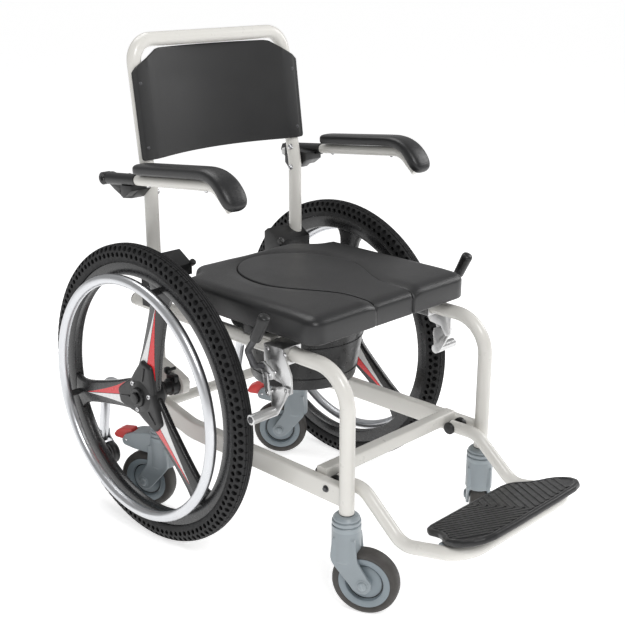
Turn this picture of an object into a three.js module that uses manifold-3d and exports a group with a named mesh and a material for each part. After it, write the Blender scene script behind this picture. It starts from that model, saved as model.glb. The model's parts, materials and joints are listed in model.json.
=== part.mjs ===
// Self-propelled shower commode chair: a white tube frame on two 24-inch drive wheels and four 125 mm
// castors, with flip-up arms, a lift-out backrest, a moulded seat with a plug, a pail and a footrest.
//
// Units are millimetres. +Z is up, the user faces -Y and +X is the user's left. Dimensions are given
// with the drive wheel axle on y = 0; the last lines centre the whole chair on the origin.

import * as THREE from 'three';
import { mergeVertices } from 'three/addons/utils/BufferGeometryUtils.js';
import ManifoldModule from 'manifold-3d';

const wasm = await ManifoldModule();
wasm.setup();

// ---------------------------------------------------------------- driving dimensions

const GAP = 0.3; // clearance between pieces that touch

// Frame: two bent side tubes, two lower rails and two rear posts.
const TUBE_R = 14;
const SIDE_X = 197;
const FRONT_POST_Y = -470;
const REAR_POST_Y = 65;
const TOP_RAIL_Z = 457;
const TOP_RAIL_BACK_Y = 131;
const SIDE_BEND_R = 72;
const RAIL_W = 20;
const RAIL_H = 40;
const RAIL_Z = 222;
const RAIL_REAR_Z = 240;
const CROSS_TUBE_R = 11;
const CROSSBAR_SIZE = 25;
const CROSSBAR_Y = -398;
const CROSSBAR_Z = 240;
const SEAT_BAR_Y = -40;
const SEAT_STRAP_Y = [-284, -260];
const SEAT_STRAP_T = 5;

// Drive wheels.
const WHEEL_R = 305;
const WHEEL_X = 277;
const TYRE_W = 36;
const TYRE_INNER_R = 269;
const RIM_INNER_R = 243;
const RIM_W = 26;
const HUB_R = 42;
const HUB_OUT = 28;
const AXLE_R = 6.35;
const AXLE_BORE_R = 6.7;
const HANDRIM_R = 241;
const HANDRIM_TUBE_R = 10.5;
const HANDRIM_OUT = 38; // from the wheel's centre plane
const SPOKES = 3;
const SPOKE_FACE = 12; // outer face of the spokes, from the wheel's centre plane
const WHEEL_SIDES = 34;
const SPOKE_ANGLE = { left: 97, right: 106 }; // of one spoke, up from straight back

// Castors.
const CASTOR_R = 62.5;
const CASTOR_W = 32;
const CASTOR_TRAIL = 38;
const CASTOR_TOP = 190;
const HOOD_R = 27;
const FORK_SLOT = 17.5; // half the width between the fork legs
const PEDAL_SLOT_Y = 62;
const CASTOR_SWIVEL = { front: { left: -53, right: -154 }, rear: { left: 38, right: 21 } };

// Anti-tip arms.
const ANTI_TIP_Y = 261;
const ANTI_TIP_Z = 63;
const ANTI_TIP_R = 25;

// Seat, pail and their carriers.
const SEAT_HALF_W = 214;
const SEAT_FRONT_Y = -405;
const SEAT_BACK_Y = 15;
const SEAT_TOP = 542;
const SEAT_BOTTOM = 489;
const OPENING_Y = -165;
const OPENING_HALF_W = 120;
const OPENING_BACK = 150;
const CHANNEL_HALF_W = 52;
const CHANNEL_Y = -345;
const SEAM = 0.6;
const PAIL_Y = -160;
const PAIL_RIM_Z = 442;
const PAIL_BOTTOM_Z = 320;
const PAIL_TOP_R = 126;
const PAIL_BOTTOM_R = 106;
const PAIL_FLANGE_R = 146;
const PAIL_FLANGE_T = 4;

// Backrest.
const BACK_TOP_Z = 979;
const BACK_RAKE_Z = 700;
const BACK_KNEE = 12; // how far back the posts step above the rake
const BACK_LEAN = 41; // and how far by the top bar
const SOCKET_TOP = 560;
const SOCKET_INNER_X = 123;
const PANEL_BOTTOM = 755;
const PANEL_TOP = 963;
const PANEL_HALF_W = 217;
const PANEL_T = 4;
const PANEL_BOW = 34;

// Arms.
const ARM_X = 250;
const ARM_TUBE_R = 10;
const ARM_PIVOT = [138, 716.5];
const ARM_PIN_R = 4;
const ARM_ELBOW_Y = -197;
const ARM_END = [-237, 712];
const ARM_PAD_BACK_Y = 22;
const ARM_RISE = 0.094; // forward slope of the arm tube
const ARM_PAD_T = 21;
const ARM_PAD_W = 46;

// Footrest.
const FOOT_X = 165;
const FOOT_TUBE_R = 12.5;
const FOOT_PIVOT_Y = -428;
const FOOT_PIVOT_Z = 229;
const FOOT_DIP = [-575, 155]; // y and z where the loop stops falling
const FOOT_CROSS = [-705, 186]; // and of its front run
const FOOTPLATE_HEEL = [-585, 177]; // y and z of the plate's rear edge
const FOOTPLATE_TILT = 18.2; // toes up, degrees
const FOOTPLATE_T = 12;

// Brakes.
const BRAKE_X = 240;
const LEVER_PIVOT = [-319, 424];
const SHOE_PIVOT = [-352, 401];
const LINK_TOP = [-311, 422];
const LINK_FOOT = [-318, 391];
const SHOE_CENTRE = [-320, 352];
const SHOE_R = 10;
const BRAKE_PIN_R = 3;
const LINK_PIN_R = 2.5;
const LINK_PLAY = 1.6; // slack of the link's upper eye on its pin

// ---------------------------------------------------------------- materials

function material(colour, roughness, metalness) {
  return new THREE.MeshStandardMaterial({ color: colour, roughness, metalness });
}

const WHITE_PAINT = material('#e9e6e0', 0.35, 0);
const BLACK_PLASTIC = material('#1d1d1f', 0.55, 0);
const SOFT_BLACK = material('#2a2a2b', 0.6, 0);
const TYRE_RUBBER = material('#333335', 0.85, 0);
const GREY_PLASTIC = material('#9aa5ab', 0.45, 0);
const RED_PLASTIC = material('#e8333c', 0.4, 0);
const ALUMINIUM = material('#c9cbcd', 0.3, 0.9);
const STEEL = material('#b4b6b8', 0.35, 1);

// ---------------------------------------------------------------- geometry helpers

const X = new THREE.Vector3(1, 0, 0);
const Y = new THREE.Vector3(0, 1, 0);
const Z = new THREE.Vector3(0, 0, 1);

function point(x, y, z) {
  return new THREE.Vector3(x, y, z);
}

// A point at x on a place [y, z] of the side view.
function at(x, [y, z]) {
  return point(x, y, z);
}

function mirror(p) {
  return point(-p.x, p.y, p.z);
}

// Bare, welded copy of a geometry with its faces pointing out.
function welded(geometry) {
  const bare = geometry.clone();
  bare.deleteAttribute('normal');
  bare.deleteAttribute('uv');
  const merged = mergeVertices(bare, 1e-4);
  const position = merged.attributes.position;
  const corners = [];
  let volume = 0;
  const [a, b, c] = [point(0, 0, 0), point(0, 0, 0), point(0, 0, 0)];
  for (let i = 0; i < merged.index.count; i += 3) {
    const [p, q, r] = [0, 1, 2].map((k) => merged.index.getX(i + k));
    if (p === q || q === r || r === p) continue;
    corners.push(p, q, r);
    a.fromBufferAttribute(position, p);
    b.fromBufferAttribute(position, q);
    c.fromBufferAttribute(position, r);
    volume += a.dot(b.cross(c));
  }
  merged.setIndex(volume < 0 ? corners.reverse() : corners);
  return merged;
}

function toSolid(geometry) {
  const closed = welded(geometry);
  return new wasm.Manifold(new wasm.Mesh({
    numProp: 3,
    vertProperties: closed.attributes.position.array,
    triVerts: Uint32Array.from(closed.index.array),
  }));
}

function toGeometry(solid) {
  const { vertProperties, triVerts } = solid.getMesh();
  const geometry = new THREE.BufferGeometry();
  geometry.setAttribute('position', new THREE.BufferAttribute(vertProperties, 3));
  geometry.setIndex(new THREE.BufferAttribute(triVerts, 1));
  return geometry;
}

function join(first, ...others) {
  return toGeometry(others.reduce((sum, other) => sum.add(toSolid(other)), toSolid(first)));
}

function cut(base, ...tools) {
  return toGeometry(tools.reduce((rest, tool) => rest.subtract(toSolid(tool)), toSolid(base)));
}

// A path that visits exactly the points it is given, one extrusion step from each to the next.
class Route extends THREE.Curve {
  constructor(points) {
    super();
    this.points = points;
  }

  getPointAt(u) {
    return this.points[Math.round(u * (this.points.length - 1))].clone();
  }

  getTangentAt(u) {
    const last = this.points.length - 1;
    const i = Math.round(u * last);
    const here = this.points[i];
    const before = this.points[Math.max(i - 1, 0)];
    const after = this.points[Math.min(i + 1, last)];
    const incoming = here.clone().sub(before).normalize();
    const outgoing = after.clone().sub(here).normalize();
    return incoming.add(outgoing).normalize();
  }
}

// Points along a bent tube: straight between the corners, with an arc of the given radius at each.
function bent(corners, radius, pieces = 5) {
  const route = [corners[0]];
  for (let i = 1; i < corners.length - 1; i += 1) {
    const incoming = corners[i].clone().sub(corners[i - 1]).normalize();
    const outgoing = corners[i + 1].clone().sub(corners[i]).normalize();
    const turn = incoming.angleTo(outgoing);
    const axis = incoming.clone().cross(outgoing).normalize();
    const start = corners[i].clone().addScaledVector(incoming, -radius * Math.tan(turn / 2));
    const arm = axis.clone().cross(incoming).multiplyScalar(-radius);
    const centre = start.clone().sub(arm);
    for (let k = 0; k <= pieces; k += 1) {
      route.push(arm.clone().applyAxisAngle(axis, (turn * k) / pieces).add(centre));
    }
  }
  route.push(corners.at(-1));
  return route;
}

function circle(radius, sides) {
  const outline = [];
  for (let i = 0; i < sides; i += 1) {
    const angle = (2 * Math.PI * (i + 0.5)) / sides;
    outline.push(new THREE.Vector2(radius * Math.cos(angle), radius * Math.sin(angle)));
  }
  return new THREE.Shape(outline);
}

function roundedRectangle(width, height, radius) {
  const [w, h, r] = [width / 2, height / 2, radius];
  const shape = new THREE.Shape();
  shape.moveTo(-w + r, -h);
  shape.lineTo(w - r, -h);
  shape.absarc(w - r, -h + r, r, -Math.PI / 2, 0);
  shape.absarc(w - r, h - r, r, 0, Math.PI / 2);
  shape.absarc(-w + r, h - r, r, Math.PI / 2, Math.PI);
  shape.absarc(-w + r, -h + r, r, Math.PI, 1.5 * Math.PI);
  return shape;
}

function polygon(points) {
  return new THREE.Shape(points.map(([u, v]) => new THREE.Vector2(u, v)));
}

function sweep(shape, route, curveSegments = 2) {
  const steps = route.length - 1;
  return new THREE.ExtrudeGeometry(shape, { steps, curveSegments, extrudePath: new Route(route) });
}

function tube(route, radius, sides = 10) {
  return sweep(circle(radius, sides), route);
}

function rod(from, to, radius, sides = 10) {
  return tube([from, to], radius, sides);
}

// Cutting tool for a round hole that leaves GAP all round a rod of the given radius.
function clearance(from, to, radius) {
  const sides = 16;
  return rod(from, to, (radius + GAP) / Math.cos(Math.PI / sides), sides);
}

function slab(shape, depth, curveSegments = 6) {
  return new THREE.ExtrudeGeometry(shape, { depth, curveSegments, bevelEnabled: false });
}

// A plate whose outline is drawn on the side view (y, z), from x0 to x1.
function sidePlate(shape, x0, x1, curveSegments = 6) {
  const plate = slab(shape, x1 - x0, curveSegments);
  plate.applyMatrix4(new THREE.Matrix4().makeBasis(Y, Z, X));
  return plate.translate(x0, 0, 0);
}

// A plate whose outline is drawn on the front view (x, z), from y0 to y1.
function frontPlate(shape, y0, y1, curveSegments = 6) {
  const plate = slab(shape, y1 - y0, curveSegments);
  plate.applyMatrix4(new THREE.Matrix4().makeBasis(X, Z, Y.clone().negate()));
  return plate.translate(0, y1, 0);
}

function block(x0, x1, y0, y1, z0, z1) {
  const box = new THREE.BoxGeometry(x1 - x0, y1 - y0, z1 - z0);
  return box.translate((x0 + x1) / 2, (y0 + y1) / 2, (z0 + z1) / 2);
}

// Turned pieces: the profile is a list of [radius, position along the axis].
function turnedX(profile, segments) {
  const points = profile.map(([radius, along]) => new THREE.Vector2(radius, along));
  return new THREE.LatheGeometry(points, segments).rotateZ(-Math.PI / 2);
}

function turnedZ(profile, segments) {
  const points = profile.map(([radius, along]) => new THREE.Vector2(radius, along));
  return new THREE.LatheGeometry(points, segments).rotateX(Math.PI / 2);
}

// Closed ring profile, symmetrical about the wheel's centre plane: [radius, half width] pairs.
function ringProfile(pairs) {
  const near = pairs.map(([radius, half]) => [radius, -half]);
  const far = pairs.map(([radius, half]) => [radius, half]).reverse();
  return [...near, ...far, near[0]];
}

function piece(name, geometry, finish) {
  const mesh = new THREE.Mesh(welded(geometry), finish);
  mesh.name = name;
  return mesh;
}

// Adds the pieces that make(suffix) returns for the left side and, mirrored, for the right.
function bothSides(chair, make) {
  for (const [suffix, side] of [['left', 1], ['right', -1]]) {
    const half = new THREE.Group();
    half.add(...make(suffix));
    half.scale.x = side;
    chair.add(half);
  }
}

// ---------------------------------------------------------------- frame

function sideTube() {
  const route = bent([
    point(SIDE_X, FRONT_POST_Y, CASTOR_TOP + GAP),
    point(SIDE_X, FRONT_POST_Y, TOP_RAIL_Z),
    point(SIDE_X, TOP_RAIL_BACK_Y, TOP_RAIL_Z),
  ], SIDE_BEND_R, 6);
  return tube(route, TUBE_R);
}

function postClearance(y) {
  return clearance(point(SIDE_X, y, 0), point(SIDE_X, y, TOP_RAIL_Z), TUBE_R);
}

function lowerRail() {
  const route = bent([
    point(SIDE_X, FRONT_POST_Y, RAIL_Z),
    point(SIDE_X, -40, RAIL_Z - 4),
    point(SIDE_X, REAR_POST_Y, RAIL_REAR_Z),
  ], 120, 3);
  const bar = sweep(roundedRectangle(RAIL_W, RAIL_H, 4), route, 1);
  return cut(bar, postClearance(FRONT_POST_Y), postClearance(REAR_POST_Y));
}

// The rear post carries the welded plate that holds the drive wheel's axle.
function rearPost() {
  const bottom = point(SIDE_X, REAR_POST_Y, CASTOR_TOP + GAP);
  const top = point(SIDE_X, REAR_POST_Y, TOP_RAIL_Z - TUBE_R - GAP);
  const reach = 24;
  const weld = 44;
  const outline = new THREE.Shape();
  outline.moveTo(REAR_POST_Y, WHEEL_R + weld);
  outline.lineTo(0, WHEEL_R + reach);
  outline.absarc(0, WHEEL_R, reach, Math.PI / 2, 1.5 * Math.PI);
  outline.lineTo(REAR_POST_Y, WHEEL_R - weld);
  const plate = sidePlate(outline, SIDE_X - 9, SIDE_X + 9, 5);
  const bore = clearance(point(0, 0, WHEEL_R), point(WHEEL_X, 0, WHEEL_R), AXLE_R);
  return cut(join(rod(bottom, top, TUBE_R), plate), bore);
}

function antiTipArm() {
  const route = bent([
    point(SIDE_X, REAR_POST_Y + TUBE_R + GAP, RAIL_REAR_Z),
    point(SIDE_X, ANTI_TIP_Y - 2, RAIL_REAR_Z),
    point(SIDE_X, ANTI_TIP_Y + 29, ANTI_TIP_Z + ANTI_TIP_R),
  ], 25, 3);
  const cheek = polygon([[-12, -4], [-8, -12], [8, -12], [40, 24], [38, 50], [18, 50], [18, 32], [-6, 12]]);
  const cheeks = [-13.5, 10.5].map((x) => (
    sidePlate(cheek, SIDE_X + x, SIDE_X + x + 3).translate(0, ANTI_TIP_Y, ANTI_TIP_Z)));
  const pinEnd = point(SIDE_X + 15, ANTI_TIP_Y, ANTI_TIP_Z);
  const pin = rod(point(SIDE_X - 15, ANTI_TIP_Y, ANTI_TIP_Z), pinEnd, 4, 8);
  return join(tube(route, CROSS_TUBE_R, 10), ...cheeks, pin);
}

function antiTipWheel() {
  const profile = ringProfile([[4.4, 9.5], [ANTI_TIP_R - 3, 9.5], [ANTI_TIP_R, 6]]);
  return turnedX(profile, 16).translate(SIDE_X, ANTI_TIP_Y, ANTI_TIP_Z);
}

// Moulded socket on the side tube: the backrest post drops into it, and a wing reaches in behind the seat.
function backrestSocket() {
  const [front, back] = [38, REAR_POST_Y + 22];
  const collar = sidePlate(polygon([
    [back, TOP_RAIL_Z], [back, SOCKET_TOP - 8], [back - 10, SOCKET_TOP], [front, SOCKET_TOP - 23],
    [front, TOP_RAIL_Z],
  ]), SIDE_X - 20, SIDE_X + 18);
  const wing = sidePlate(polygon([
    [back, SOCKET_TOP - 52], [back, SOCKET_TOP - 8], [back - 10, SOCKET_TOP], [front, SOCKET_TOP - 23],
    [front, SOCKET_TOP - 46],
  ]), SOCKET_INNER_X, SIDE_X);
  const saddleEnd = point(SIDE_X, TOP_RAIL_BACK_Y, TOP_RAIL_Z);
  const saddle = clearance(point(SIDE_X, -100, TOP_RAIL_Z), saddleEnd, TUBE_R);
  const floor = point(SIDE_X, REAR_POST_Y, TOP_RAIL_Z);
  const mouth = point(SIDE_X, REAR_POST_Y, SOCKET_TOP + 5);
  return cut(join(collar, wing), saddle, clearance(floor, mouth, TUBE_R));
}

// The pail hangs by its flange on two rails, held by the seat strap in front and the seat bar behind.
function pailRail() {
  const ledge = PAIL_RIM_Z - PAIL_FLANGE_T - GAP;
  const inner = PAIL_FLANGE_R + 2;
  const [front, strapBack] = SEAT_STRAP_Y;
  const web = block(inner, inner + 6, front, SEAT_BAR_Y, ledge - 4, TOP_RAIL_Z - CROSS_TUBE_R - GAP);
  const lip = block(inner - 11, inner + 1, front, SEAT_BAR_Y, ledge - 4, ledge);
  const tab = block(inner, inner + 6, front, strapBack, ledge, TOP_RAIL_Z + TUBE_R);
  return join(web, lip, tab);
}

function brakeClamp() {
  const inner = SIDE_X - 17;
  const face = SIDE_X + 26;
  const outer = SIDE_X + 30;
  const saddle = sidePlate(polygon([[-338, 474], [-338, 440], [-290, 440], [-290, 474]]), inner, outer);
  const plate = sidePlate(polygon([
    [-338, 474], [-360, 430], [-362, 396], [-350, 388], [-336, 408], [-308, 412], [-298, 426], [-290, 474],
  ]), face, outer);
  const leverPin = rod(at(face + 1, LEVER_PIVOT), at(BRAKE_X + 1, LEVER_PIVOT), BRAKE_PIN_R, 8);
  const shoePin = rod(at(face + 1, SHOE_PIVOT), at(BRAKE_X - 6, SHOE_PIVOT), BRAKE_PIN_R, 8);
  const rail = clearance(at(SIDE_X, [-400, TOP_RAIL_Z]), at(SIDE_X, [-250, TOP_RAIL_Z]), TUBE_R);
  return cut(join(saddle, plate, leverPin, shoePin), rail);
}

// ---------------------------------------------------------------- drive wheels

function tyre() {
  return turnedX(ringProfile([
    [TYRE_INNER_R, TYRE_W / 2 - 3],
    [WHEEL_R - 17, TYRE_W / 2],
    [WHEEL_R - 6, TYRE_W / 2 - 3],
    [WHEEL_R, TYRE_W / 2 - 10],
  ]), WHEEL_SIDES);
}

function spokeAngles() {
  return Array.from({ length: SPOKES }, (_, i) => (2 * Math.PI * i) / SPOKES);
}

function wheelRim() {
  const band = ringProfile([[RIM_INNER_R, RIM_W / 2 - 3], [TYRE_INNER_R - GAP, RIM_W / 2]]);
  const hub = turnedX([
    [AXLE_BORE_R, -30], [26, -30], [HUB_R, -12], [HUB_R, 14], [32, 19], [20, 21], [18, HUB_OUT],
    [AXLE_BORE_R, HUB_OUT], [AXLE_BORE_R, -30],
  ], 18);
  const half = [[30, 34], [90, 27], [190, 23], [225, 26], [RIM_INNER_R + 2, 40]];
  const spoke = polygon([...half.map(([r, w]) => [r, -w]), ...half.reverse()]);
  const spokes = spokeAngles().map((angle) => sidePlate(spoke, -6, SPOKE_FACE).rotateX(angle));
  return join(turnedX(band, WHEEL_SIDES), hub, ...spokes);
}

// The handrim stands off the spokes on three pegs.
function handrim() {
  const hoop = new THREE.TorusGeometry(HANDRIM_R, HANDRIM_TUBE_R, 6, WHEEL_SIDES);
  hoop.rotateY(Math.PI / 2).translate(HANDRIM_OUT, 0, 0);
  const foot = point(SPOKE_FACE + GAP, HANDRIM_R - 2, 0);
  const head = point(HANDRIM_OUT, HANDRIM_R - 2, 0);
  const pegs = spokeAngles().map((angle) => rod(foot, head, 7, 8).rotateX(angle));
  return join(hoop, ...pegs);
}

function axle() {
  const pin = rod(point(SIDE_X - 20, 0, WHEEL_R), point(WHEEL_X + HUB_OUT + 1, 0, WHEEL_R), AXLE_R);
  const head = point(WHEEL_X + HUB_OUT + GAP, 0, WHEEL_R);
  const button = rod(head, point(WHEEL_X + HUB_OUT + 6, 0, WHEEL_R), 11, 12);
  const nut = rod(point(SIDE_X - 20, 0, WHEEL_R), point(SIDE_X - 9 - GAP, 0, WHEEL_R), 11, 6);
  return join(pin, button, nut);
}

function driveWheel(suffix) {
  const wheel = new THREE.Group();
  wheel.add(
    piece(`drive_tyre_${suffix}`, tyre(), TYRE_RUBBER),
    piece(`drive_rim_${suffix}`, wheelRim(), BLACK_PLASTIC),
    piece(`handrim_${suffix}`, handrim(), ALUMINIUM),
  );
  wheel.position.set(WHEEL_X, 0, WHEEL_R);
  wheel.rotation.x = THREE.MathUtils.degToRad(SPOKE_ANGLE[suffix]);
  return wheel;
}

// ---------------------------------------------------------------- castors

// A castor's own frame has its stem on the z axis and the wheel trailing towards +Y.
function castorFork(withBrakeArm) {
  const hood = turnedZ([
    [0, 98], [HOOD_R, 98], [HOOD_R, CASTOR_TOP - 28], [HOOD_R - 2, CASTOR_TOP - 24],
    [HOOD_R - 2, CASTOR_TOP - 4], [HOOD_R - 6, CASTOR_TOP], [0, CASTOR_TOP],
  ], 18);
  const leg = new THREE.Shape();
  leg.moveTo(-14, 140);
  leg.lineTo(-18, 100);
  leg.lineTo(CASTOR_TRAIL - 14, CASTOR_R - 8);
  leg.absarc(CASTOR_TRAIL, CASTOR_R, 15, -2.5, 0.9);
  leg.lineTo(20, 108);
  leg.lineTo(14, 140);
  const legs = [-FORK_SLOT - 6, FORK_SLOT].map((x) => sidePlate(leg, x, x + 6, 4));
  const arch = new THREE.Shape();
  arch.moveTo(-FORK_SLOT, 0);
  arch.lineTo(FORK_SLOT, 0);
  arch.lineTo(FORK_SLOT, 122);
  arch.absarc(0, 122, FORK_SLOT, 0, Math.PI);
  const tunnel = frontPlate(arch, -120, 120, 5);
  const bolt = rod(at(-27, [CASTOR_TRAIL, CASTOR_R]), at(27, [CASTOR_TRAIL, CASTOR_R]), 6, 10);
  if (!withBrakeArm) {
    return join(cut(join(hood, ...legs), tunnel), bolt);
  }
  const arm = polygon([[0, 132], [84, 136], [90, 150], [80, 166], [40, 176], [0, 178]]);
  const dome = sidePlate(arm, -FORK_SLOT - 3, FORK_SLOT + 3);
  const pedalSlot = block(-12, 12, PEDAL_SLOT_Y, 120, 130, 200);
  return join(cut(join(hood, dome, ...legs), tunnel, pedalSlot), bolt);
}

function castorWheel() {
  return turnedX(ringProfile([
    [6.5, CASTOR_W / 2], [14, 10], [48, CASTOR_W / 2], [CASTOR_R, CASTOR_W / 2 - 7],
  ]), 18).translate(0, CASTOR_TRAIL, CASTOR_R);
}

// Wheel brake pedal: a lever across the fork's arm that the foot presses down behind the castor.
function castorPedal() {
  const heel = PEDAL_SLOT_Y + 4;
  const outline = [[heel, 160], [72, 150], [82, 146], [112, 150], [116, 156], [96, 172], [heel + 4, 174]];
  return sidePlate(polygon(outline), -11.5, 11.5);
}

function castor(place, suffix) {
  const rear = place === 'rear';
  const unit = new THREE.Group();
  unit.add(
    piece(`${place}_castor_fork_${suffix}`, castorFork(rear), GREY_PLASTIC),
    piece(`${place}_castor_wheel_${suffix}`, castorWheel(), TYRE_RUBBER),
  );
  if (rear) {
    unit.add(piece(`${place}_castor_pedal_${suffix}`, castorPedal(), RED_PLASTIC));
  }
  const side = suffix === 'left' ? 1 : -1;
  unit.position.set(side * SIDE_X, rear ? REAR_POST_Y : FRONT_POST_Y, 0);
  unit.rotation.z = THREE.MathUtils.degToRad(CASTOR_SWIVEL[place][suffix]);
  return unit;
}

// ---------------------------------------------------------------- seat and pail

// Outline of the seat's opening and the channel that leads to its front edge, grown by an offset.
function openingOutline(offset, frontY) {
  const right = [];
  const steps = 8;
  for (let i = 0; i <= steps; i += 1) {
    const angle = (Math.PI / 2) * (1 - i / steps);
    const x = (OPENING_HALF_W + offset) * Math.cos(angle);
    right.push([x, OPENING_Y + (OPENING_BACK + offset) * Math.sin(angle)]);
  }
  for (let i = 1; i <= steps; i += 1) {
    const t = i / steps;
    const blend = 0.5 + 0.5 * Math.cos(Math.PI * t);
    const x = CHANNEL_HALF_W + (OPENING_HALF_W - CHANNEL_HALF_W) * blend + offset;
    right.push([x, OPENING_Y + (CHANNEL_Y - OPENING_Y) * t]);
  }
  right.push([CHANNEL_HALF_W + offset, frontY]);
  const left = right.slice(1).reverse().map(([x, y]) => [-x, y]);
  return polygon([...right, ...left]);
}

function seatPad() {
  const outline = [
    [130, SEAT_BACK_Y], [170, -30], [SEAT_HALF_W, -40], [SEAT_HALF_W, SEAT_FRONT_Y + 24],
    [SEAT_HALF_W - 20, SEAT_FRONT_Y],
  ];
  const mirrored = outline.map(([x, y]) => [-x, y]).reverse();
  const rim = slab(polygon([...outline, ...mirrored]), SEAT_TOP - SEAT_BOTTOM);
  rim.translate(0, 0, SEAT_BOTTOM);
  const feet = [];
  for (const x of [-SIDE_X, SIDE_X]) {
    for (const y of [-230, -90]) {
      feet.push(block(x - 12, x + 12, y - 15, y + 15, TOP_RAIL_Z + TUBE_R + GAP, SEAT_BOTTOM + 1));
    }
  }
  const opening = slab(openingOutline(SEAM, SEAT_FRONT_Y - 20), 100).translate(0, 0, SEAT_BOTTOM - 20);
  const frontEdge = sidePlate(polygon([
    [SEAT_FRONT_Y - 5, SEAT_TOP - 22], [SEAT_FRONT_Y + 20, SEAT_TOP - 4],
    [SEAT_FRONT_Y + 45, SEAT_TOP + 1], [SEAT_FRONT_Y - 5, SEAT_TOP + 1],
  ]), -SEAT_HALF_W - 5, SEAT_HALF_W + 5);
  const sideEdges = [-1, 1].map((side) => frontPlate(polygon([
    [side * (SEAT_HALF_W - 24), SEAT_TOP + 1], [side * (SEAT_HALF_W + 1), SEAT_TOP - 17],
    [side * (SEAT_HALF_W + 1), SEAT_TOP + 1],
  ]), SEAT_FRONT_Y - 5, SEAT_BACK_Y + 5));
  return cut(join(rim, ...feet), opening, frontEdge, ...sideEdges);
}

function seatInsert() {
  const plug = slab(openingOutline(-SEAM, SEAT_FRONT_Y), SEAT_TOP - SEAT_BOTTOM - 8);
  plug.translate(0, 0, SEAT_BOTTOM);
  const slope = sidePlate(polygon([
    [SEAT_FRONT_Y - 5, SEAT_TOP - 26], [SEAT_FRONT_Y + 20, SEAT_TOP - 8],
    [SEAT_FRONT_Y - 5, SEAT_TOP],
  ]), -300, 300);
  return cut(plug, slope);
}

function pail() {
  const wall = 4;
  const flange = PAIL_RIM_Z - PAIL_FLANGE_T;
  return turnedZ([
    [0, PAIL_BOTTOM_Z], [PAIL_BOTTOM_R, PAIL_BOTTOM_Z], [PAIL_TOP_R, flange], [PAIL_FLANGE_R, flange],
    [PAIL_FLANGE_R, PAIL_RIM_Z], [PAIL_TOP_R - wall, PAIL_RIM_Z],
    [PAIL_BOTTOM_R - wall, PAIL_BOTTOM_Z + wall], [0, PAIL_BOTTOM_Z + wall],
  ], 28).translate(0, PAIL_Y, 0);
}

// ---------------------------------------------------------------- backrest and arms

// The posts rise straight from their sockets, then lean back to the top bar.
function backTube() {
  const foot = point(SIDE_X, REAR_POST_Y, TOP_RAIL_Z + TUBE_R + 3);
  const knee = point(SIDE_X, REAR_POST_Y, BACK_RAKE_Z);
  const lean = point(SIDE_X, REAR_POST_Y + BACK_KNEE, BACK_RAKE_Z + 60);
  const corner = point(SIDE_X, REAR_POST_Y + BACK_LEAN, BACK_TOP_Z);
  const post = bent([foot, knee, lean, corner], 60, 2).slice(0, -1);
  const crown = bent([post.at(-1), corner, mirror(corner), mirror(post.at(-1))], 44, 5).slice(1, -1);
  return tube([...post, ...crown, ...post.map(mirror).reverse()], TUBE_R);
}

// Front face of the back posts at a height.
function backPostFront(z) {
  const t = (z - BACK_RAKE_Z - 60) / (BACK_TOP_Z - BACK_RAKE_Z - 60);
  return REAR_POST_Y + BACK_KNEE + (BACK_LEAN - BACK_KNEE) * t - TUBE_R;
}

function backPanel() {
  const side = SIDE_X - 20;
  const face = [];
  const steps = 10;
  for (let i = 0; i <= steps; i += 1) {
    const t = -1 + (2 * i) / steps;
    face.push([side * t, PANEL_BOW * (1 - t * t)]);
  }
  const front = [[-PANEL_HALF_W, 0], ...face, [PANEL_HALF_W, 0]];
  const rear = front.map(([x, y]) => [x, y + PANEL_T]).reverse();
  const sheet = slab(polygon([...front, ...rear]), PANEL_TOP - PANEL_BOTTOM);
  const lean = (backPostFront(PANEL_TOP) - backPostFront(PANEL_BOTTOM)) / (PANEL_TOP - PANEL_BOTTOM);
  sheet.applyMatrix4(new THREE.Matrix4().makeShear(0, 0, 0, 0, 0, lean));
  sheet.translate(0, backPostFront(PANEL_BOTTOM) - PANEL_T - GAP, PANEL_BOTTOM);
  const corners = [[-1, 188], [1, 152]].map(([s, start]) => frontPlate(polygon([
    [s * start, PANEL_TOP + 5], [s * start, PANEL_TOP], [s * (PANEL_HALF_W + 1), PANEL_TOP - 42],
    [s * (PANEL_HALF_W + 1), PANEL_TOP + 5],
  ]), 0, 200));
  return cut(sheet, ...corners);
}

// Bracket on the outside of the back post: the arm pivots on its pin and rests on its shelf.
function armBracket() {
  const [py, pz] = ARM_PIVOT;
  const outer = ARM_X - ARM_TUBE_R - GAP;
  const body = sidePlate(polygon([
    [46, 704], [70, 684], [100, 680], [112, 692], [112, pz + 8], [46, pz + 4],
  ]), SIDE_X + TUBE_R + GAP, outer);
  const ear = sidePlate(polygon([
    [100, 682], [128, 694], [py + 8, pz - 13], [py + 13, pz - 2], [py + 8, pz + 10], [py - 6, pz + 12],
    [100, pz + 8],
  ]), outer - 4, outer);
  const shelf = sidePlate(polygon([
    [46, 704], [66, 690], [78, 690], [78, armUnder(78)], [46, armUnder(46)],
  ]), outer - 2, ARM_X + 9);
  const pin = rod(at(outer - 2, ARM_PIVOT), at(ARM_X + 15, ARM_PIVOT), ARM_PIN_R, 8);
  return join(body, ear, shelf, pin);
}

// Height of the arm tube's centre line, and just under the tube, at a distance along the chair.
function armCentre(y) {
  return ARM_PIVOT[1] + ARM_RISE * (ARM_PIVOT[0] - y);
}

function armUnder(y) {
  return armCentre(y) - ARM_TUBE_R - 2 * GAP;
}

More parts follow.
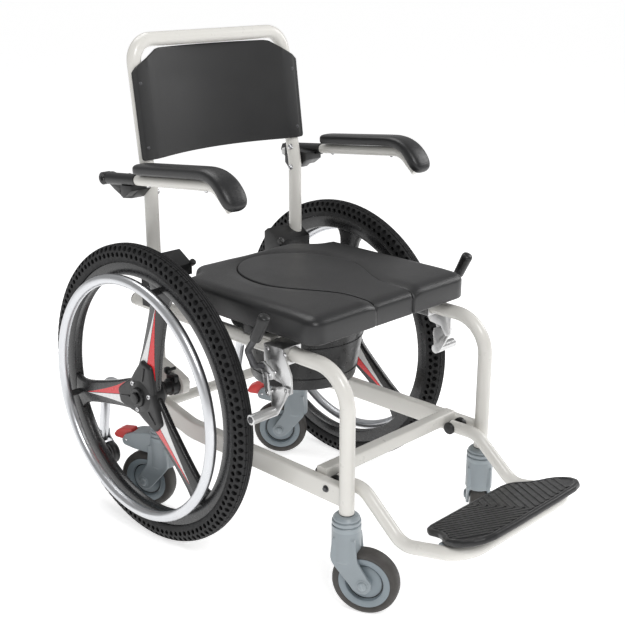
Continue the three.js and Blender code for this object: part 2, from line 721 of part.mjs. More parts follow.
function armRoute(offset) {
  const elbow = 45;
  const route = bent([
    at(ARM_X, [ARM_PIVOT[0], armCentre(ARM_PIVOT[0])]),
    at(ARM_X, [ARM_ELBOW_Y, armCentre(ARM_ELBOW_Y)]),
    at(ARM_X, ARM_END),
  ], elbow, 4);
  return route.map((p, i) => {
    const along = route[Math.min(i + 1, route.length - 1)].clone().sub(route[Math.max(i - 1, 0)]);
    return p.clone().addScaledVector(along.normalize().cross(X), offset);
  });
}

function armTube() {
  const eye = rod(at(ARM_X - ARM_TUBE_R, ARM_PIVOT), at(ARM_X + ARM_TUBE_R, ARM_PIVOT), ARM_TUBE_R + 2, 14);
  const bore = clearance(at(ARM_X - 20, ARM_PIVOT), at(ARM_X + 20, ARM_PIVOT), ARM_PIN_R);
  return cut(join(tube(armRoute(0), ARM_TUBE_R), eye), bore);
}

// The pad follows the tube and dives over its front end.
function armPad() {
  const spine = armRoute(ARM_TUBE_R + ARM_PAD_T / 2 + GAP);
  const share = (ARM_PIVOT[0] - ARM_PAD_BACK_Y) / (ARM_PIVOT[0] - spine[1].y);
  const back = spine[0].clone().lerp(spine[1], share);
  const tip = spine.at(-1).clone().add(spine.at(-1).clone().sub(spine.at(-2)).setLength(9));
  return sweep(roundedRectangle(ARM_PAD_W, ARM_PAD_T, 8), [back, ...spine.slice(1), tip]);
}

// ---------------------------------------------------------------- footrest

function footrestLoop() {
  const half = [
    point(FOOT_X, FOOT_PIVOT_Y + 8, FOOT_PIVOT_Z),
    point(FOOT_X, FOOT_PIVOT_Y - 54, FOOT_PIVOT_Z + 2),
    at(FOOT_X, FOOT_DIP),
    at(FOOT_X - 4, FOOT_CROSS),
  ];
  const loop = tube(bent([...half, ...half.map(mirror).reverse()], 48, 3), FOOT_TUBE_R);
  const pins = [-1, 1].map((side) => rod(
    point(side * (FOOT_X + FOOT_TUBE_R - 2), FOOT_PIVOT_Y, FOOT_PIVOT_Z),
    point(side * (SIDE_X - RAIL_W / 2 - GAP), FOOT_PIVOT_Y, FOOT_PIVOT_Z),
    7,
    10,
  ));
  return join(loop, ...pins);
}

// Outline of the footplate: half width against distance from the heel edge, with a waist at the side.
function footplateOutline() {
  const half = [
    [60, 0], [106, 0], [121, 5], [130, 16], [134, 32], [139, 48], [147, 61], [158, 72], [166, 86],
    [169, 104], [167, 122], [158, 140], [143, 153], [120, 160], [60, 162],
  ];
  return polygon([...half, ...half.map(([x, d]) => [-x, d]).reverse()]);
}

// The plate is clamped to the loop's front run by two saddles moulded under it.
function footplate() {
  const plate = slab(footplateOutline(), FOOTPLATE_T, 1).translate(0, 0, -FOOTPLATE_T);
  const saddles = [-75, 75].map((x) => block(x - 14, x + 14, 116, 138, -FOOTPLATE_T - 10, 1 - FOOTPLATE_T));
  const whole = join(plate, ...saddles).rotateX(THREE.MathUtils.degToRad(FOOTPLATE_TILT));
  whole.scale(1, -1, 1).translate(0, ...FOOTPLATE_HEEL);
  const groove = clearance(at(-120, FOOT_CROSS), at(120, FOOT_CROSS), FOOT_TUBE_R);
  return cut(whole, groove);
}

// ---------------------------------------------------------------- brakes

function brakeLever() {
  const foot = [-301, 436];
  const route = bent([
    at(BRAKE_X - 2, foot),
    at(BRAKE_X + 18, [-298, 441]),
    at(BRAKE_X + 34, [-300, 474]),
    at(BRAKE_X + 43, [-331, 507]),
    at(BRAKE_X + 42, [-338, 520]),
  ], 9, 2);
  const grip = rod(at(BRAKE_X + 43, [-331, 507]), at(BRAKE_X + 41, [-355, 553]), 11.5, 10);
  const crank = sidePlate(polygon([
    [-328, 418], [-328, 430], [-319, 437], [-302, 444], [-293, 442], [-293, 432], [-303, 415],
    [-319, 414],
  ]), BRAKE_X - 5, BRAKE_X);
  const bore = clearance(at(BRAKE_X - 10, LEVER_PIVOT), at(BRAKE_X + 5, LEVER_PIVOT), BRAKE_PIN_R);
  const linkPin = rod(at(BRAKE_X - 2, LINK_TOP), at(BRAKE_X + 6, LINK_TOP), LINK_PIN_R, 8);
  return join(cut(join(tube(route, 6, 8), crank), bore), grip, linkPin);
}

function brakeLink() {
  const [y0, z0] = LINK_FOOT;
  const [y1, z1] = LINK_TOP;
  const outline = polygon([
    [y0 - 6, z0 - 2], [y0 - 2, z0 - 6], [y0 + 5, z0 - 4], [y1 + 7, z1 - 1], [y1 + 5, z1 + 5],
    [y1 - 1, z1 + 7], [y1 - 7, z1 + 3],
  ]);
  const foot = clearance(at(BRAKE_X - 5, LINK_FOOT), at(BRAKE_X + 10, LINK_FOOT), LINK_PIN_R);
  const eye = clearance(at(BRAKE_X - 5, LINK_TOP), at(BRAKE_X + 10, LINK_TOP), LINK_PIN_R + LINK_PLAY);
  return cut(sidePlate(outline, BRAKE_X + 2, BRAKE_X + 5), foot, eye);
}

function shoeArm() {
  const [ay, az] = SHOE_PIVOT;
  const [by, bz] = LINK_FOOT;
  const [cy, cz] = SHOE_CENTRE;
  const inner = BRAKE_X - 11;
  const plate = sidePlate(polygon([
    [ay - 7, az + 5], [ay - 6, az - 6], [cy - 10, cz - 4], [cy + 2, cz - 6], [by + 6, bz - 4],
    [by + 4, bz + 6], [ay + 4, az + 7],
  ]), inner, inner + 4);
  const bore = clearance(at(inner - 5, SHOE_PIVOT), at(inner + 9, SHOE_PIVOT), BRAKE_PIN_R);
  const shoe = rod(at(inner, SHOE_CENTRE), at(BRAKE_X + 48, SHOE_CENTRE), SHOE_R, 12);
  const linkPin = rod(at(inner + 2, LINK_FOOT), at(BRAKE_X + 6, LINK_FOOT), LINK_PIN_R, 8);
  return join(cut(plate, bore), shoe, linkPin);
}

// ---------------------------------------------------------------- assembly

const model = new THREE.Group();

bothSides(model, (suffix) => [
  piece(`side_tube_${suffix}`, sideTube(), WHITE_PAINT),
  piece(`lower_rail_${suffix}`, lowerRail(), WHITE_PAINT),
  piece(`rear_post_${suffix}`, rearPost(), WHITE_PAINT),
  piece(`anti_tip_arm_${suffix}`, antiTipArm(), ALUMINIUM),
  piece(`anti_tip_wheel_${suffix}`, antiTipWheel(), BLACK_PLASTIC),
  piece(`backrest_socket_${suffix}`, backrestSocket(), BLACK_PLASTIC),
  piece(`pail_rail_${suffix}`, pailRail(), BLACK_PLASTIC),
  piece(`axle_${suffix}`, axle(), STEEL),
  piece(`brake_clamp_${suffix}`, brakeClamp(), ALUMINIUM),
  piece(`brake_lever_${suffix}`, brakeLever(), BLACK_PLASTIC),
  piece(`brake_link_${suffix}`, brakeLink(), ALUMINIUM),
  piece(`brake_shoe_${suffix}`, shoeArm(), ALUMINIUM),
  piece(`arm_bracket_${suffix}`, armBracket(), BLACK_PLASTIC),
  piece(`arm_tube_${suffix}`, armTube(), ALUMINIUM),
  piece(`arm_pad_${suffix}`, armPad(), SOFT_BLACK),
  driveWheel(suffix),
]);

for (const suffix of ['left', 'right']) {
  model.add(castor('front', suffix), castor('rear', suffix));
}

const railGap = SIDE_X - RAIL_W / 2 - GAP;
const tubeGap = SIDE_X - TUBE_R - GAP;
const crossbar = new THREE.BoxGeometry(2 * railGap, CROSSBAR_SIZE, CROSSBAR_SIZE);
crossbar.translate(0, CROSSBAR_Y, CROSSBAR_Z);
model.add(piece('front_crossbar', crossbar, WHITE_PAINT));
for (const [name, y, z] of [
  ['rear_crossbar', REAR_POST_Y, RAIL_REAR_Z],
  ['seat_bar', SEAT_BAR_Y, TOP_RAIL_Z],
]) {
  model.add(piece(name, rod(point(-tubeGap, y, z), point(tubeGap, y, z), CROSS_TUBE_R), WHITE_PAINT));
}

const strapBottom = TOP_RAIL_Z + TUBE_R + GAP;
const strapEnd = SIDE_X + 8;
const strap = block(-strapEnd, strapEnd, ...SEAT_STRAP_Y, strapBottom, strapBottom + SEAT_STRAP_T);
model.add(piece('seat_strap', strap, WHITE_PAINT));

model.add(
  piece('seat_pad', seatPad(), SOFT_BLACK),
  piece('seat_insert', seatInsert(), SOFT_BLACK),
  piece('pail', pail(), BLACK_PLASTIC),
  piece('back_tube', backTube(), WHITE_PAINT),
  piece('back_panel', backPanel(), SOFT_BLACK),
  piece('footrest_loop', footrestLoop(), WHITE_PAINT),
  piece('footplate', footplate(), BLACK_PLASTIC),
);

const bounds = new THREE.Box3().setFromObject(model, true);
model.position.y = -(bounds.min.y + bounds.max.y) / 2;

export default model;
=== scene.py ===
import json
import math

import bmesh
import bpy
import numpy as np
from mathutils import Matrix, Vector, geometry


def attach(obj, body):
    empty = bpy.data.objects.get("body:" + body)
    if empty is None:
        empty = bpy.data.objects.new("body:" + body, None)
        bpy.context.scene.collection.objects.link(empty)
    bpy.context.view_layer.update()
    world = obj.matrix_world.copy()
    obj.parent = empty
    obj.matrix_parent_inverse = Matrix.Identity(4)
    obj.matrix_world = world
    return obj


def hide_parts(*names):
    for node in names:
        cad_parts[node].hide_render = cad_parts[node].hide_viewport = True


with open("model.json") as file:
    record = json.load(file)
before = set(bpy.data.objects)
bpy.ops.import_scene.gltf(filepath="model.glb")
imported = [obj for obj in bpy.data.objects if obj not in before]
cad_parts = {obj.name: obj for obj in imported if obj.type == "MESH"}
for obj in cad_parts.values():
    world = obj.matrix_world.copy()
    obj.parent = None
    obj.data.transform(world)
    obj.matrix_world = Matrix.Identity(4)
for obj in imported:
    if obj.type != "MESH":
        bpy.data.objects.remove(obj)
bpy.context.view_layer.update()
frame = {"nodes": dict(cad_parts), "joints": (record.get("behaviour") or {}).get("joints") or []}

# Lengths in this file are millimetres, measured from the drive wheel axle in y and from the floor in
# z, as the CAD source does; at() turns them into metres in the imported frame.
MM = 0.001
JOINTS = {joint["name"]: joint for joint in frame["joints"]}
AXLE_Y = JOINTS["drive_wheel_left_spin"]["pos_m"][1]
SIDES = (("left", 1), ("right", -1))

# ---------------------------------------------------------------- dimensions shared with the CAD

TUBE_R = 14
SIDE_X = 197
FRONT_POST_Y = -470
REAR_POST_Y = 65
TOP_RAIL_Z = 457
WHEEL_X = 277
ANTI_TIP_WHEEL = (261, 63)
WHEEL_R = 305
CASTOR_R = 62.5
CASTOR_TRAIL = 38
CASTOR_TOP = 190
SWIVEL = {("front", "left"): -53, ("front", "right"): -154, ("rear", "left"): 38, ("rear", "right"): 21}
SPOKE_ANGLE = {"left": 97, "right": 106}
FOOTPLATE_HEEL = (-585, 177)
FOOTPLATE_TILT = math.radians(18.2)
RAIL_Z = 240
AXLE_KNOB_Z = 341
PAIL_Y = -160
TYRE_HOLES = 116
HANDRIM_R = 241
RIB_PITCH = 12.6
RIB_WIDTH = 9.4
ARM_X = 250
ARM_PIVOT = (138, 716.5)
ARM_RISE = 0.094


def at(x, y, z):
    return Vector((x * MM, AXLE_Y + y * MM, z * MM))


# ---------------------------------------------------------------- materials


class Nodes:
    """A material's node tree with a few shorthands."""

    def __init__(self, name):
        self.material = bpy.data.materials.new(name)
        self.material.use_nodes = True
        self.tree = self.material.node_tree
        self.shader = self.tree.nodes["Principled BSDF"]
        self.place = self.add("ShaderNodeTexCoord").outputs["Object"]

    def add(self, kind, **settings):
        node = self.tree.nodes.new(kind)
        for key, value in settings.items():
            if hasattr(node, key):
                setattr(node, key, value)
            else:
                node.inputs[key.replace("_", " ")].default_value = value
        return node

    def link(self, output, target):
        self.tree.links.new(output, target)

    def noise(self, scale, detail=3.0, roughness=0.55, stretch=None):
        """Noise with features about 1/scale metres across, optionally stretched along the axes."""
        node = self.add("ShaderNodeTexNoise", Scale=scale, Detail=detail, Roughness=roughness)
        place = self.place
        if stretch:
            mapping = self.add("ShaderNodeMapping")
            mapping.inputs["Scale"].default_value = stretch
            self.link(place, mapping.inputs["Vector"])
            place = mapping.outputs["Vector"]
        self.link(place, node.inputs["Vector"])
        return node.outputs["Fac"]

    def cells(self, scale, feature="F1"):
        node = self.add("ShaderNodeTexVoronoi", feature=feature, Scale=scale)
        self.link(self.place, node.inputs["Vector"])
        return node.outputs["Distance"]

    def spread(self, value, low, high, from_low=0.3, from_high=0.7):
        node = self.add("ShaderNodeMapRange")
        ends = {"From Min": from_low, "From Max": from_high, "To Min": low, "To Max": high}
        for key, number in ends.items():
            node.inputs[key].default_value = number
        self.link(value, node.inputs["Value"])
        return node.outputs["Result"]

    def combine(self, operation, a, b):
        node = self.add("ShaderNodeMath", operation=operation)
        self.link(a, node.inputs[0])
        if isinstance(b, (int, float)):
            node.inputs[1].default_value = b
        else:
            self.link(b, node.inputs[1])
        return node.outputs["Value"]

    def mix(self, factor, first, second):
        node = self.add("ShaderNodeMix", data_type="RGBA")
        self.link(factor, node.inputs["Factor"])
        for name, colour in (("A", first), ("B", second)):
            socket = [s for s in node.inputs if s.name == name and s.type == "RGBA"][0]
            if isinstance(colour, tuple):
                socket.default_value = (*colour, 1)
            else:
                self.link(colour, socket)
        return [s for s in node.outputs if s.type == "RGBA"][0]

    def bump(self, height, distance, strength=1.0, under=None):
        node = self.add("ShaderNodeBump", Distance=distance, Strength=strength)
        self.link(height, node.inputs["Height"])
        if under:
            self.link(under, node.inputs["Normal"])
        return node.outputs["Normal"]

    def worn_edges(self, low=0.52, high=0.62):
        """0 on flat faces, rising to 1 along convex edges."""
        return self.spread(self.add("ShaderNodeNewGeometry").outputs["Pointiness"], 0, 1, low, high)

    def set(self, **values):
        for key, value in values.items():
            self.shader.inputs[key.replace("_", " ")].default_value = value

    def colour(self, output):
        self.link(output, self.shader.inputs["Base Color"])

    def rough(self, output):
        self.link(output, self.shader.inputs["Roughness"])

    def normal(self, output):
        self.link(output, self.shader.inputs["Normal"])


def painted_metal():
    n = Nodes("white_paint")
    n.set(Coat_Weight=0.35, Coat_Roughness=0.12)
    n.colour(n.mix(n.noise(14, 4), (0.69, 0.675, 0.635), (0.74, 0.725, 0.685)))
    n.rough(n.spread(n.noise(60, 4), 0.26, 0.40))
    n.normal(n.bump(n.noise(1400, 2), 0.00006, 0.5, n.bump(n.noise(260, 2), 0.00012, 0.35)))
    return n.material


def moulded_foam(name, dark, light, rough, grain):
    """Integral-skin polyurethane: a fine pebbled grain under a soft satin skin."""
    n = Nodes(name)
    n.set(Specular_IOR_Level=0.5, Sheen_Weight=0.06, Sheen_Roughness=0.45)
    pebbles = n.spread(n.cells(grain), 0, 1, 0.0, 0.75)
    blotches = n.noise(9, 5, 0.6)
    n.colour(n.mix(n.worn_edges(), n.mix(blotches, dark, light), tuple(1.9 * c for c in light)))
    n.rough(n.spread(n.combine("ADD", blotches, n.combine("MULTIPLY", pebbles, 0.25)), rough - 0.05,
                     rough + 0.07, 0.4, 0.95))
    n.normal(n.bump(pebbles, 0.00016, 0.55, n.bump(n.noise(140, 4), 0.0006, 0.16)))
    return n.material


def leather_sheet():
    """Back panel: a calendered sheet with a shallow creased grain."""
    n = Nodes("back_sheet")
    n.set(Specular_IOR_Level=0.5, Sheen_Weight=0.05, Sheen_Roughness=0.4)
    creases = n.spread(n.cells(700, "F1"), 0, 1, 0.0, 0.8)
    blotches = n.noise(7, 5, 0.6)
    n.colour(n.mix(blotches, (0.011, 0.011, 0.0115), (0.018, 0.018, 0.0185)))
    n.rough(n.spread(n.combine("ADD", blotches, n.combine("MULTIPLY", creases, 0.2)), 0.36, 0.50, 0.4, 0.9))
    n.normal(n.bump(creases, 0.00014, 0.5, n.bump(n.noise(60, 3), 0.001, 0.10)))
    return n.material


def plastic(name, colour, rough, grain=900, coat=0.0, wear=1.6):
    """Moulded plastic with a spark-eroded grain, flow marks and slightly polished edges."""
    n = Nodes(name)
    n.set(Coat_Weight=coat, Coat_Roughness=0.18)
    shade = tuple(0.82 * c for c in colour)
    base = n.mix(n.noise(22, 4), shade, colour)
    n.colour(n.mix(n.worn_edges(), base, tuple(min(1, wear * c) for c in colour)))
    n.rough(n.spread(n.noise(90, 4), rough - 0.05, rough + 0.07))
    n.normal(n.bump(n.noise(grain, 2), 0.00010, 0.45, n.bump(n.noise(120, 2), 0.0003, 0.12)))
    return n.material


def rubber(name, dark, light, rough):
    n = Nodes(name)
    n.set(Specular_IOR_Level=0.35)
    n.colour(n.mix(n.spread(n.noise(35, 6, 0.65), 0, 1), dark, light))
    n.rough(n.spread(n.noise(200, 4), rough - 0.08, rough + 0.06))
    n.normal(n.bump(n.noise(1100, 3), 0.0002, 0.6, n.bump(n.noise(180, 2), 0.0004, 0.2)))
    return n.material


def metal(name, colour, rough, stretch, scale=1.0):
    """Satin metal with fine drawing lines along the piece."""
    n = Nodes(name)
    n.set(Metallic=1.0)
    lines = n.noise(scale * 1000, 3, 0.6, stretch)
    n.colour(n.mix(n.noise(25, 4), tuple(0.9 * c for c in colour), colour))
    n.rough(n.spread(lines, rough - 0.03, rough + 0.04))
    n.normal(n.bump(lines, 0.00001, 0.12))
    return n.material


PAINT = painted_metal()
SEAT_FOAM = moulded_foam("seat_foam", (0.009, 0.009, 0.0095), (0.014, 0.014, 0.015), 0.36, 950)
ARM_FOAM = moulded_foam("arm_foam", (0.009, 0.009, 0.0095), (0.014, 0.014, 0.015), 0.31, 1300)
SHEET = leather_sheet()
BLACK = plastic("black_plastic", (0.009, 0.009, 0.0095), 0.36)
GLOSS_BLACK = plastic("rim_black", (0.012, 0.012, 0.013), 0.27, 500, 0.3)
FOOT_BLACK = plastic("footplate_black", (0.013, 0.013, 0.014), 0.40, 700, 0.0, 1.4)
PAIL_BLACK = plastic("pail_black", (0.012, 0.012, 0.013), 0.30)
GREY = plastic("castor_grey", (0.29, 0.33, 0.355), 0.33, 800, 0.2, 1.2)
CORE_GREY = plastic("castor_core", (0.24, 0.285, 0.315), 0.32, 800, 0.15, 1.25)
RED = plastic("pedal_red", (0.80, 0.06, 0.055), 0.33, 700, 0.2, 1.2)
DECAL_RED = plastic("decal_red", (0.78, 0.018, 0.025), 0.24, 1500, 0.4, 1.0)
DECAL_WHITE = plastic("decal_white", (0.82, 0.82, 0.82), 0.26, 1500, 0.4, 1.0)
PIN_WHITE = plastic("pin_white", (0.78, 0.78, 0.77), 0.35)
TYRE = rubber("tyre_rubber", (0.008, 0.008, 0.0085), (0.018, 0.018, 0.019), 0.62)
CASTOR_TYRE = rubber("castor_rubber", (0.050, 0.046, 0.043), (0.075, 0.070, 0.066), 0.55)
ALUMINIUM = metal("handrim_metal", (0.66, 0.67, 0.69), 0.30, (1.0, 0.3, 0.3), 0.3)
STEEL = metal("bolt_steel", (0.62, 0.62, 0.63), 0.24, (0.4, 0.4, 1.0))
PLATE_STEEL = metal("brake_plate", (0.66, 0.66, 0.66), 0.30, (1.0, 0.3, 0.3))
DARK_STEEL = metal("dark_bolt", (0.10, 0.10, 0.105), 0.38, (0.6, 0.6, 1.0))

# ---------------------------------------------------------------- shapes: (points, faces) pairs


def joined(*shapes):
    points, faces, start = [], [], 0
    for some_points, some_faces in shapes:
        points.append(np.asarray(some_points, float))
        faces += [tuple(i + start for i in face) for face in some_faces]
        start += len(some_points)
    return np.concatenate(points), faces


def moved(shape, matrix):
    points = np.asarray(shape[0], float)
    m = np.array(matrix, float)
    faces = shape[1]
    if np.linalg.det(m[:3, :3]) < 0:
        faces = [tuple(reversed(face)) for face in faces]
    return points @ m[:3, :3].T + m[:3, 3], faces


def rings(loops, closed_along=False, caps=True):
    """Skin over equal loops of points, each seen counter-clockwise from the far end."""
    count = len(loops[0])
    points = np.concatenate([np.asarray(loop, float) for loop in loops])
    faces = []
    rows = len(loops) if closed_along else len(loops) - 1
    for j in range(rows):
        a, b = j * count, ((j + 1) % len(loops)) * count
        for i in range(count):
            k = (i + 1) % count
            faces.append((a + i, a + k, b + k, b + i))
    if caps and not closed_along:
        faces.append(tuple(reversed(range(count))))
        faces.append(tuple(range((len(loops) - 1) * count, len(loops) * count)))
    return points, faces


def unit(v):
    return v / np.linalg.norm(v)


def frames_along(path):
    """Tangent and two normals at each point of a path, carried along without twist."""
    path = np.asarray(path, float)
    tangents = [unit(path[min(i + 1, len(path) - 1)] - path[max(i - 1, 0)]) for i in range(len(path))]
    side = np.array([1.0, 0, 0]) if abs(tangents[0][0]) < 0.9 else np.array([0, 1.0, 0])
    result = []
    for tangent in tangents:
        side = unit(side - tangent * (side @ tangent))
        result.append((tangent, side, np.cross(tangent, side)))
    return result


def sweep(path, section, caps=True):
    """section(i) gives the loop at step i as (side, up) pairs."""
    loops = []
    for i, (point, (_, side, up)) in enumerate(zip(np.asarray(path, float), frames_along(path))):
        loops.append([point + u * side + v * up for u, v in section(i)])
    return rings(loops, caps=caps)


def circle(radius, sides=32):
    return [(radius * math.cos(2 * math.pi * i / sides), radius * math.sin(2 * math.pi * i / sides))
            for i in range(sides)]


def bend(corners, radius, pieces=14):
    """Straight between the corners, with an arc of that radius at each."""
    corners = [np.asarray(c, float) for c in corners]
    route = [corners[0]]
    for before, corner, after in zip(corners, corners[1:], corners[2:]):
        incoming, outgoing = unit(corner - before), unit(after - corner)
        turn = math.acos(max(-1, min(1, incoming @ outgoing)))
        if turn < 1e-4:
            continue
        start = corner - incoming * radius * math.tan(turn / 2)
        inward = unit(outgoing - incoming * (incoming @ outgoing))
        for k in range(pieces + 1):
            a = turn * k / pieces
            route.append(start + incoming * radius * math.sin(a) + inward * radius * (1 - math.cos(a)))
    route.append(corners[-1])
    return route


def tube(corners, radius, bend_radius=0, sides=32, pieces=14, edge=1.0):
    """Round bar or tube with slightly rounded ends."""
    path = bend(corners, bend_radius, pieces) if bend_radius else [np.asarray(c, float) for c in corners]
    first, last = unit(path[1] - path[0]), unit(path[-1] - path[-2])
    path = [path[0], path[0] + first * edge, *path[1:-1], path[-1] - last * edge, path[-1]]
    end = len(path) - 1
    return sweep(path, lambda i: circle(radius - (edge if i in (0, end) else 0), sides))


def turned(profile, origin=(0, 0, 0), axis=(0, 0, 1), segments=48, closed=False):
    """Turned shape. profile lists (radius, distance along the axis); a closed one makes a ring."""
    axis = unit(np.asarray(axis, float))
    helper = np.array([1.0, 0, 0]) if abs(axis[0]) < 0.9 else np.array([0, 0, 1.0])
    u = unit(np.cross(helper, axis))
    v = np.cross(axis, u)
    loops = []
    for radius, along in profile:
        radius = max(radius, 0.02)
        loops.append([np.asarray(origin) + axis * along + radius * (math.cos(a) * u + math.sin(a) * v)
                      for a in np.linspace(0, 2 * math.pi, segments, endpoint=False)])
    shape = rings(loops, closed_along=closed)
    return shape


def bolt_head(origin, axis, radius, height, sides=6):
    """Chamfered hexagon or round head standing on a washer."""
    r = radius
    washer = turned([(r * 1.35, 0), (r * 1.35, 0.8), (r * 1.25, 1.1), (r * 0.5, 1.1)], origin, axis, 28)
    head = turned([(r * 0.98, 1.0), (r, 1.4), (r, height - 0.8), (r * 0.86, height)], origin, axis, sides)
    return joined(washer, head)


def dome(origin, axis, radius, height, segments=24):
    steps = [(radius * math.cos(a), height * math.sin(a)) for a in np.linspace(0, math.pi / 2, 7)]
    return turned([(radius, -0.5), *steps], origin, axis, segments)


def fillet(points, radius, pieces=6):
    """Closed outline with its corners rounded. radius is one number or one for each corner."""
    count = len(points)
    radii = radius if isinstance(radius, (list, tuple)) else [radius] * count
    out = []
    for i in range(count):
        p, q, r = (np.asarray(points[j % count], float) for j in (i - 1, i, i + 1))
        a, b = unit(p - q), unit(r - q)
        turn = math.pi - math.acos(max(-1, min(1, a @ b)))
        if turn < 0.02 or radii[i] <= 0:
            out.append(q)
            continue
        reach = min(radii[i] * math.tan(turn / 2), 0.48 * np.linalg.norm(p - q), 0.48 * np.linalg.norm(r - q))
        for k in range(pieces + 1):
            t = k / pieces
            out.append((1 - t) ** 2 * (q + a * reach) + 2 * t * (1 - t) * q + t * t * (q + b * reach))
    return [tuple(p) for p in out]


def resampled(outline, step):
    """The outline with no edge longer than step."""
    out = []
    for p, q in zip(outline, outline[1:] + outline[:1]):
        p, q = np.asarray(p, float), np.asarray(q, float)
        length = np.linalg.norm(q - p)
        if length < 1e-6:
            continue
        pieces = max(1, math.ceil(length / step))
        out += [tuple(p + (q - p) * k / pieces) for k in range(pieces)]
    return out


def anticlockwise(outline):
    area = sum(p[0] * q[1] - q[0] * p[1] for p, q in zip(outline, outline[1:] + outline[:1]))
    return list(outline) if area > 0 else list(reversed(outline))


def distance_to(points, outline):
    """Distance of each point from a closed outline."""
    points = np.asarray(points, float)
    a = np.asarray(outline, float)
    b = np.roll(a, -1, axis=0)
    d = b - a
    best = np.full(len(points), 1e9)
    for start, along in zip(a, d):
        t = np.clip(((points - start) @ along) / max(along @ along, 1e-12), 0, 1)
        best = np.minimum(best, np.linalg.norm(points - start - t[:, None] * along, axis=1))
    return best


def inside(points, outline):
    points = np.asarray(points, float)
    result = np.zeros(len(points), bool)
    for (x0, y0), (x1, y1) in zip(outline, outline[1:] + outline[:1]):
        crosses = (y0 > points[:, 1]) != (y1 > points[:, 1])
        with np.errstate(divide="ignore", invalid="ignore"):
            x = x0 + (points[:, 1] - y0) / (y1 - y0) * (x1 - x0)
        result ^= crosses & (points[:, 0] < x)
    return result


def moulded(outline, top, bottom, offsets=(0.5, 1.2, 2.2, 3.5, 5, 8), grid=9.0, step=4.0):
    """Closed moulding over a flat outline. top(p, d) and bottom(p, d) turn plan points p, at distance d
    from the outline, into points in space; the wall between them is straight."""
    rim = resampled(anticlockwise(outline), step)
    loop = np.asarray(rim)
    tangent = np.roll(loop, -1, axis=0) - np.roll(loop, 1, axis=0)
    tangent /= np.linalg.norm(tangent, axis=1)[:, None]
    inward = np.stack([-tangent[:, 1], tangent[:, 0]], axis=1)
    plan = [loop]
    for offset in offsets:
        ring = loop + inward * offset
        keep = inside(ring, rim) & (distance_to(ring, rim) > 0.93 * offset)
        plan.append(ring[keep])
    low, high = loop.min(0), loop.max(0)
    xs, ys = (np.arange(low[k] + grid / 2, high[k], grid) for k in (0, 1))
    field = np.stack([c.ravel() for c in np.meshgrid(xs, ys)], axis=1)
    field = field[inside(field, rim)]
    plan.append(field[distance_to(field, rim) > offsets[-1] + grid * 0.35])
    plan = np.concatenate(plan)
    count = len(rim)
    edges = [(i, (i + 1) % count) for i in range(count)]
    made = geometry.delaunay_2d_cdt([Vector(p) for p in plan], edges, [], 1, 1e-5)
    flat = np.array([tuple(v) for v in made[0]])
    where = {old: new for new, olds in enumerate(made[3]) for old in olds}
    faces = [tuple(f) for f in made[2]]
    apart = distance_to(flat, rim)
    apart[[where[i] for i in range(count)]] = 0
    upper, lower = top(flat, apart), bottom(flat, apart)
    n = len(flat)
    skin = faces + [tuple(i + n for i in reversed(f)) for f in faces]
    for i, j in edges:
        a, b = where[i], where[j]
        skin.append((a, a + n, b + n, b))
    return np.concatenate([upper, lower]), skin


def roundover(d, radius, drop):
    """How far a surface lies below its crown at distance d from the edge."""
    t = np.clip(1 - d / radius, 0, 1)
    return drop * (1 - np.sqrt(np.clip(1 - t * t, 0, 1)))


def plate_in_side_view(outline, x0, x1):
    """Flat plate whose outline lists (y, z)."""
    outline = anticlockwise(outline)
    near = [(x0, y, z) for y, z in outline]
    far = [(x1, y, z) for y, z in outline]
    return rings([near, far])


def block(x0, x1, y0, y1, z0, z1):
    return plate_in_side_view([(y0, z0), (y1, z0), (y1, z1), (y0, z1)], x0, x1)


# ---------------------------------------------------------------- objects


def add(name, shape, material, body, node=None, sharp=38, in_place=False):
    """A finished piece from a shape in axle-frame millimetres."""
    points = np.asarray(shape[0], float) * MM
    if not in_place:
        points[:, 1] += AXLE_Y
    mesh = bpy.data.meshes.new(name)
    mesh.from_pydata(points.tolist(), [], shape[1])
    mesh.validate()
    mesh.materials.append(material)
    obj = bpy.data.objects.new(name, mesh)
    bpy.context.scene.collection.objects.link(obj)
    smooth(obj, sharp)
    if body:
        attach(obj, body)
    if node:
        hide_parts(*([node] if isinstance(node, str) else node))
    return obj


def smooth(obj, sharp=38):
    obj.data.polygons.foreach_set("use_smooth", [True] * len(obj.data.polygons))
    obj.data.set_sharp_from_angle(angle=math.radians(sharp))


def bevelled(obj, width, segments=3, angle=30):
    modifier = obj.modifiers.new("Bevel", "BEVEL")
    modifier.width = width * MM
    modifier.segments = segments
    modifier.limit_method = "ANGLE"
    modifier.angle_limit = math.radians(angle)
    modifier.use_clamp_overlap = True
    modifier.harden_normals = False
    apply_modifiers(obj)
    smooth(obj, 40)
    return obj


def apply_modifiers(obj):
    bpy.context.view_layer.update()
    depsgraph = bpy.context.evaluated_depsgraph_get()
    made = bpy.data.meshes.new_from_object(obj.evaluated_get(depsgraph))
    old = obj.data
    obj.modifiers.clear()
    obj.data = made
    bpy.data.meshes.remove(old)


def cad_shape(node):
    """A CAD node's own form as clean flat faces, in millimetres in the axle frame."""
    work = bmesh.new()
    work.from_mesh(frame["nodes"][node].data)
    bmesh.ops.remove_doubles(work, verts=work.verts, dist=2e-6)
    bmesh.ops.dissolve_limit(work, angle_limit=math.radians(1.0), verts=work.verts, edges=work.edges)
    work.verts.index_update()
    points = np.array([v.co for v in work.verts]) / MM
    points[:, 1] -= AXLE_Y / MM
    faces = [tuple(v.index for v in f.verts) for f in work.faces]
    work.free()
    return points, faces


def carried(node, material, body, width, segments=3):
    """A CAD node's form with its edges broken, standing for the node."""
    obj = add(f"{node}_body", cad_shape(node), material, body, node)
    return bevelled(obj, width, segments)


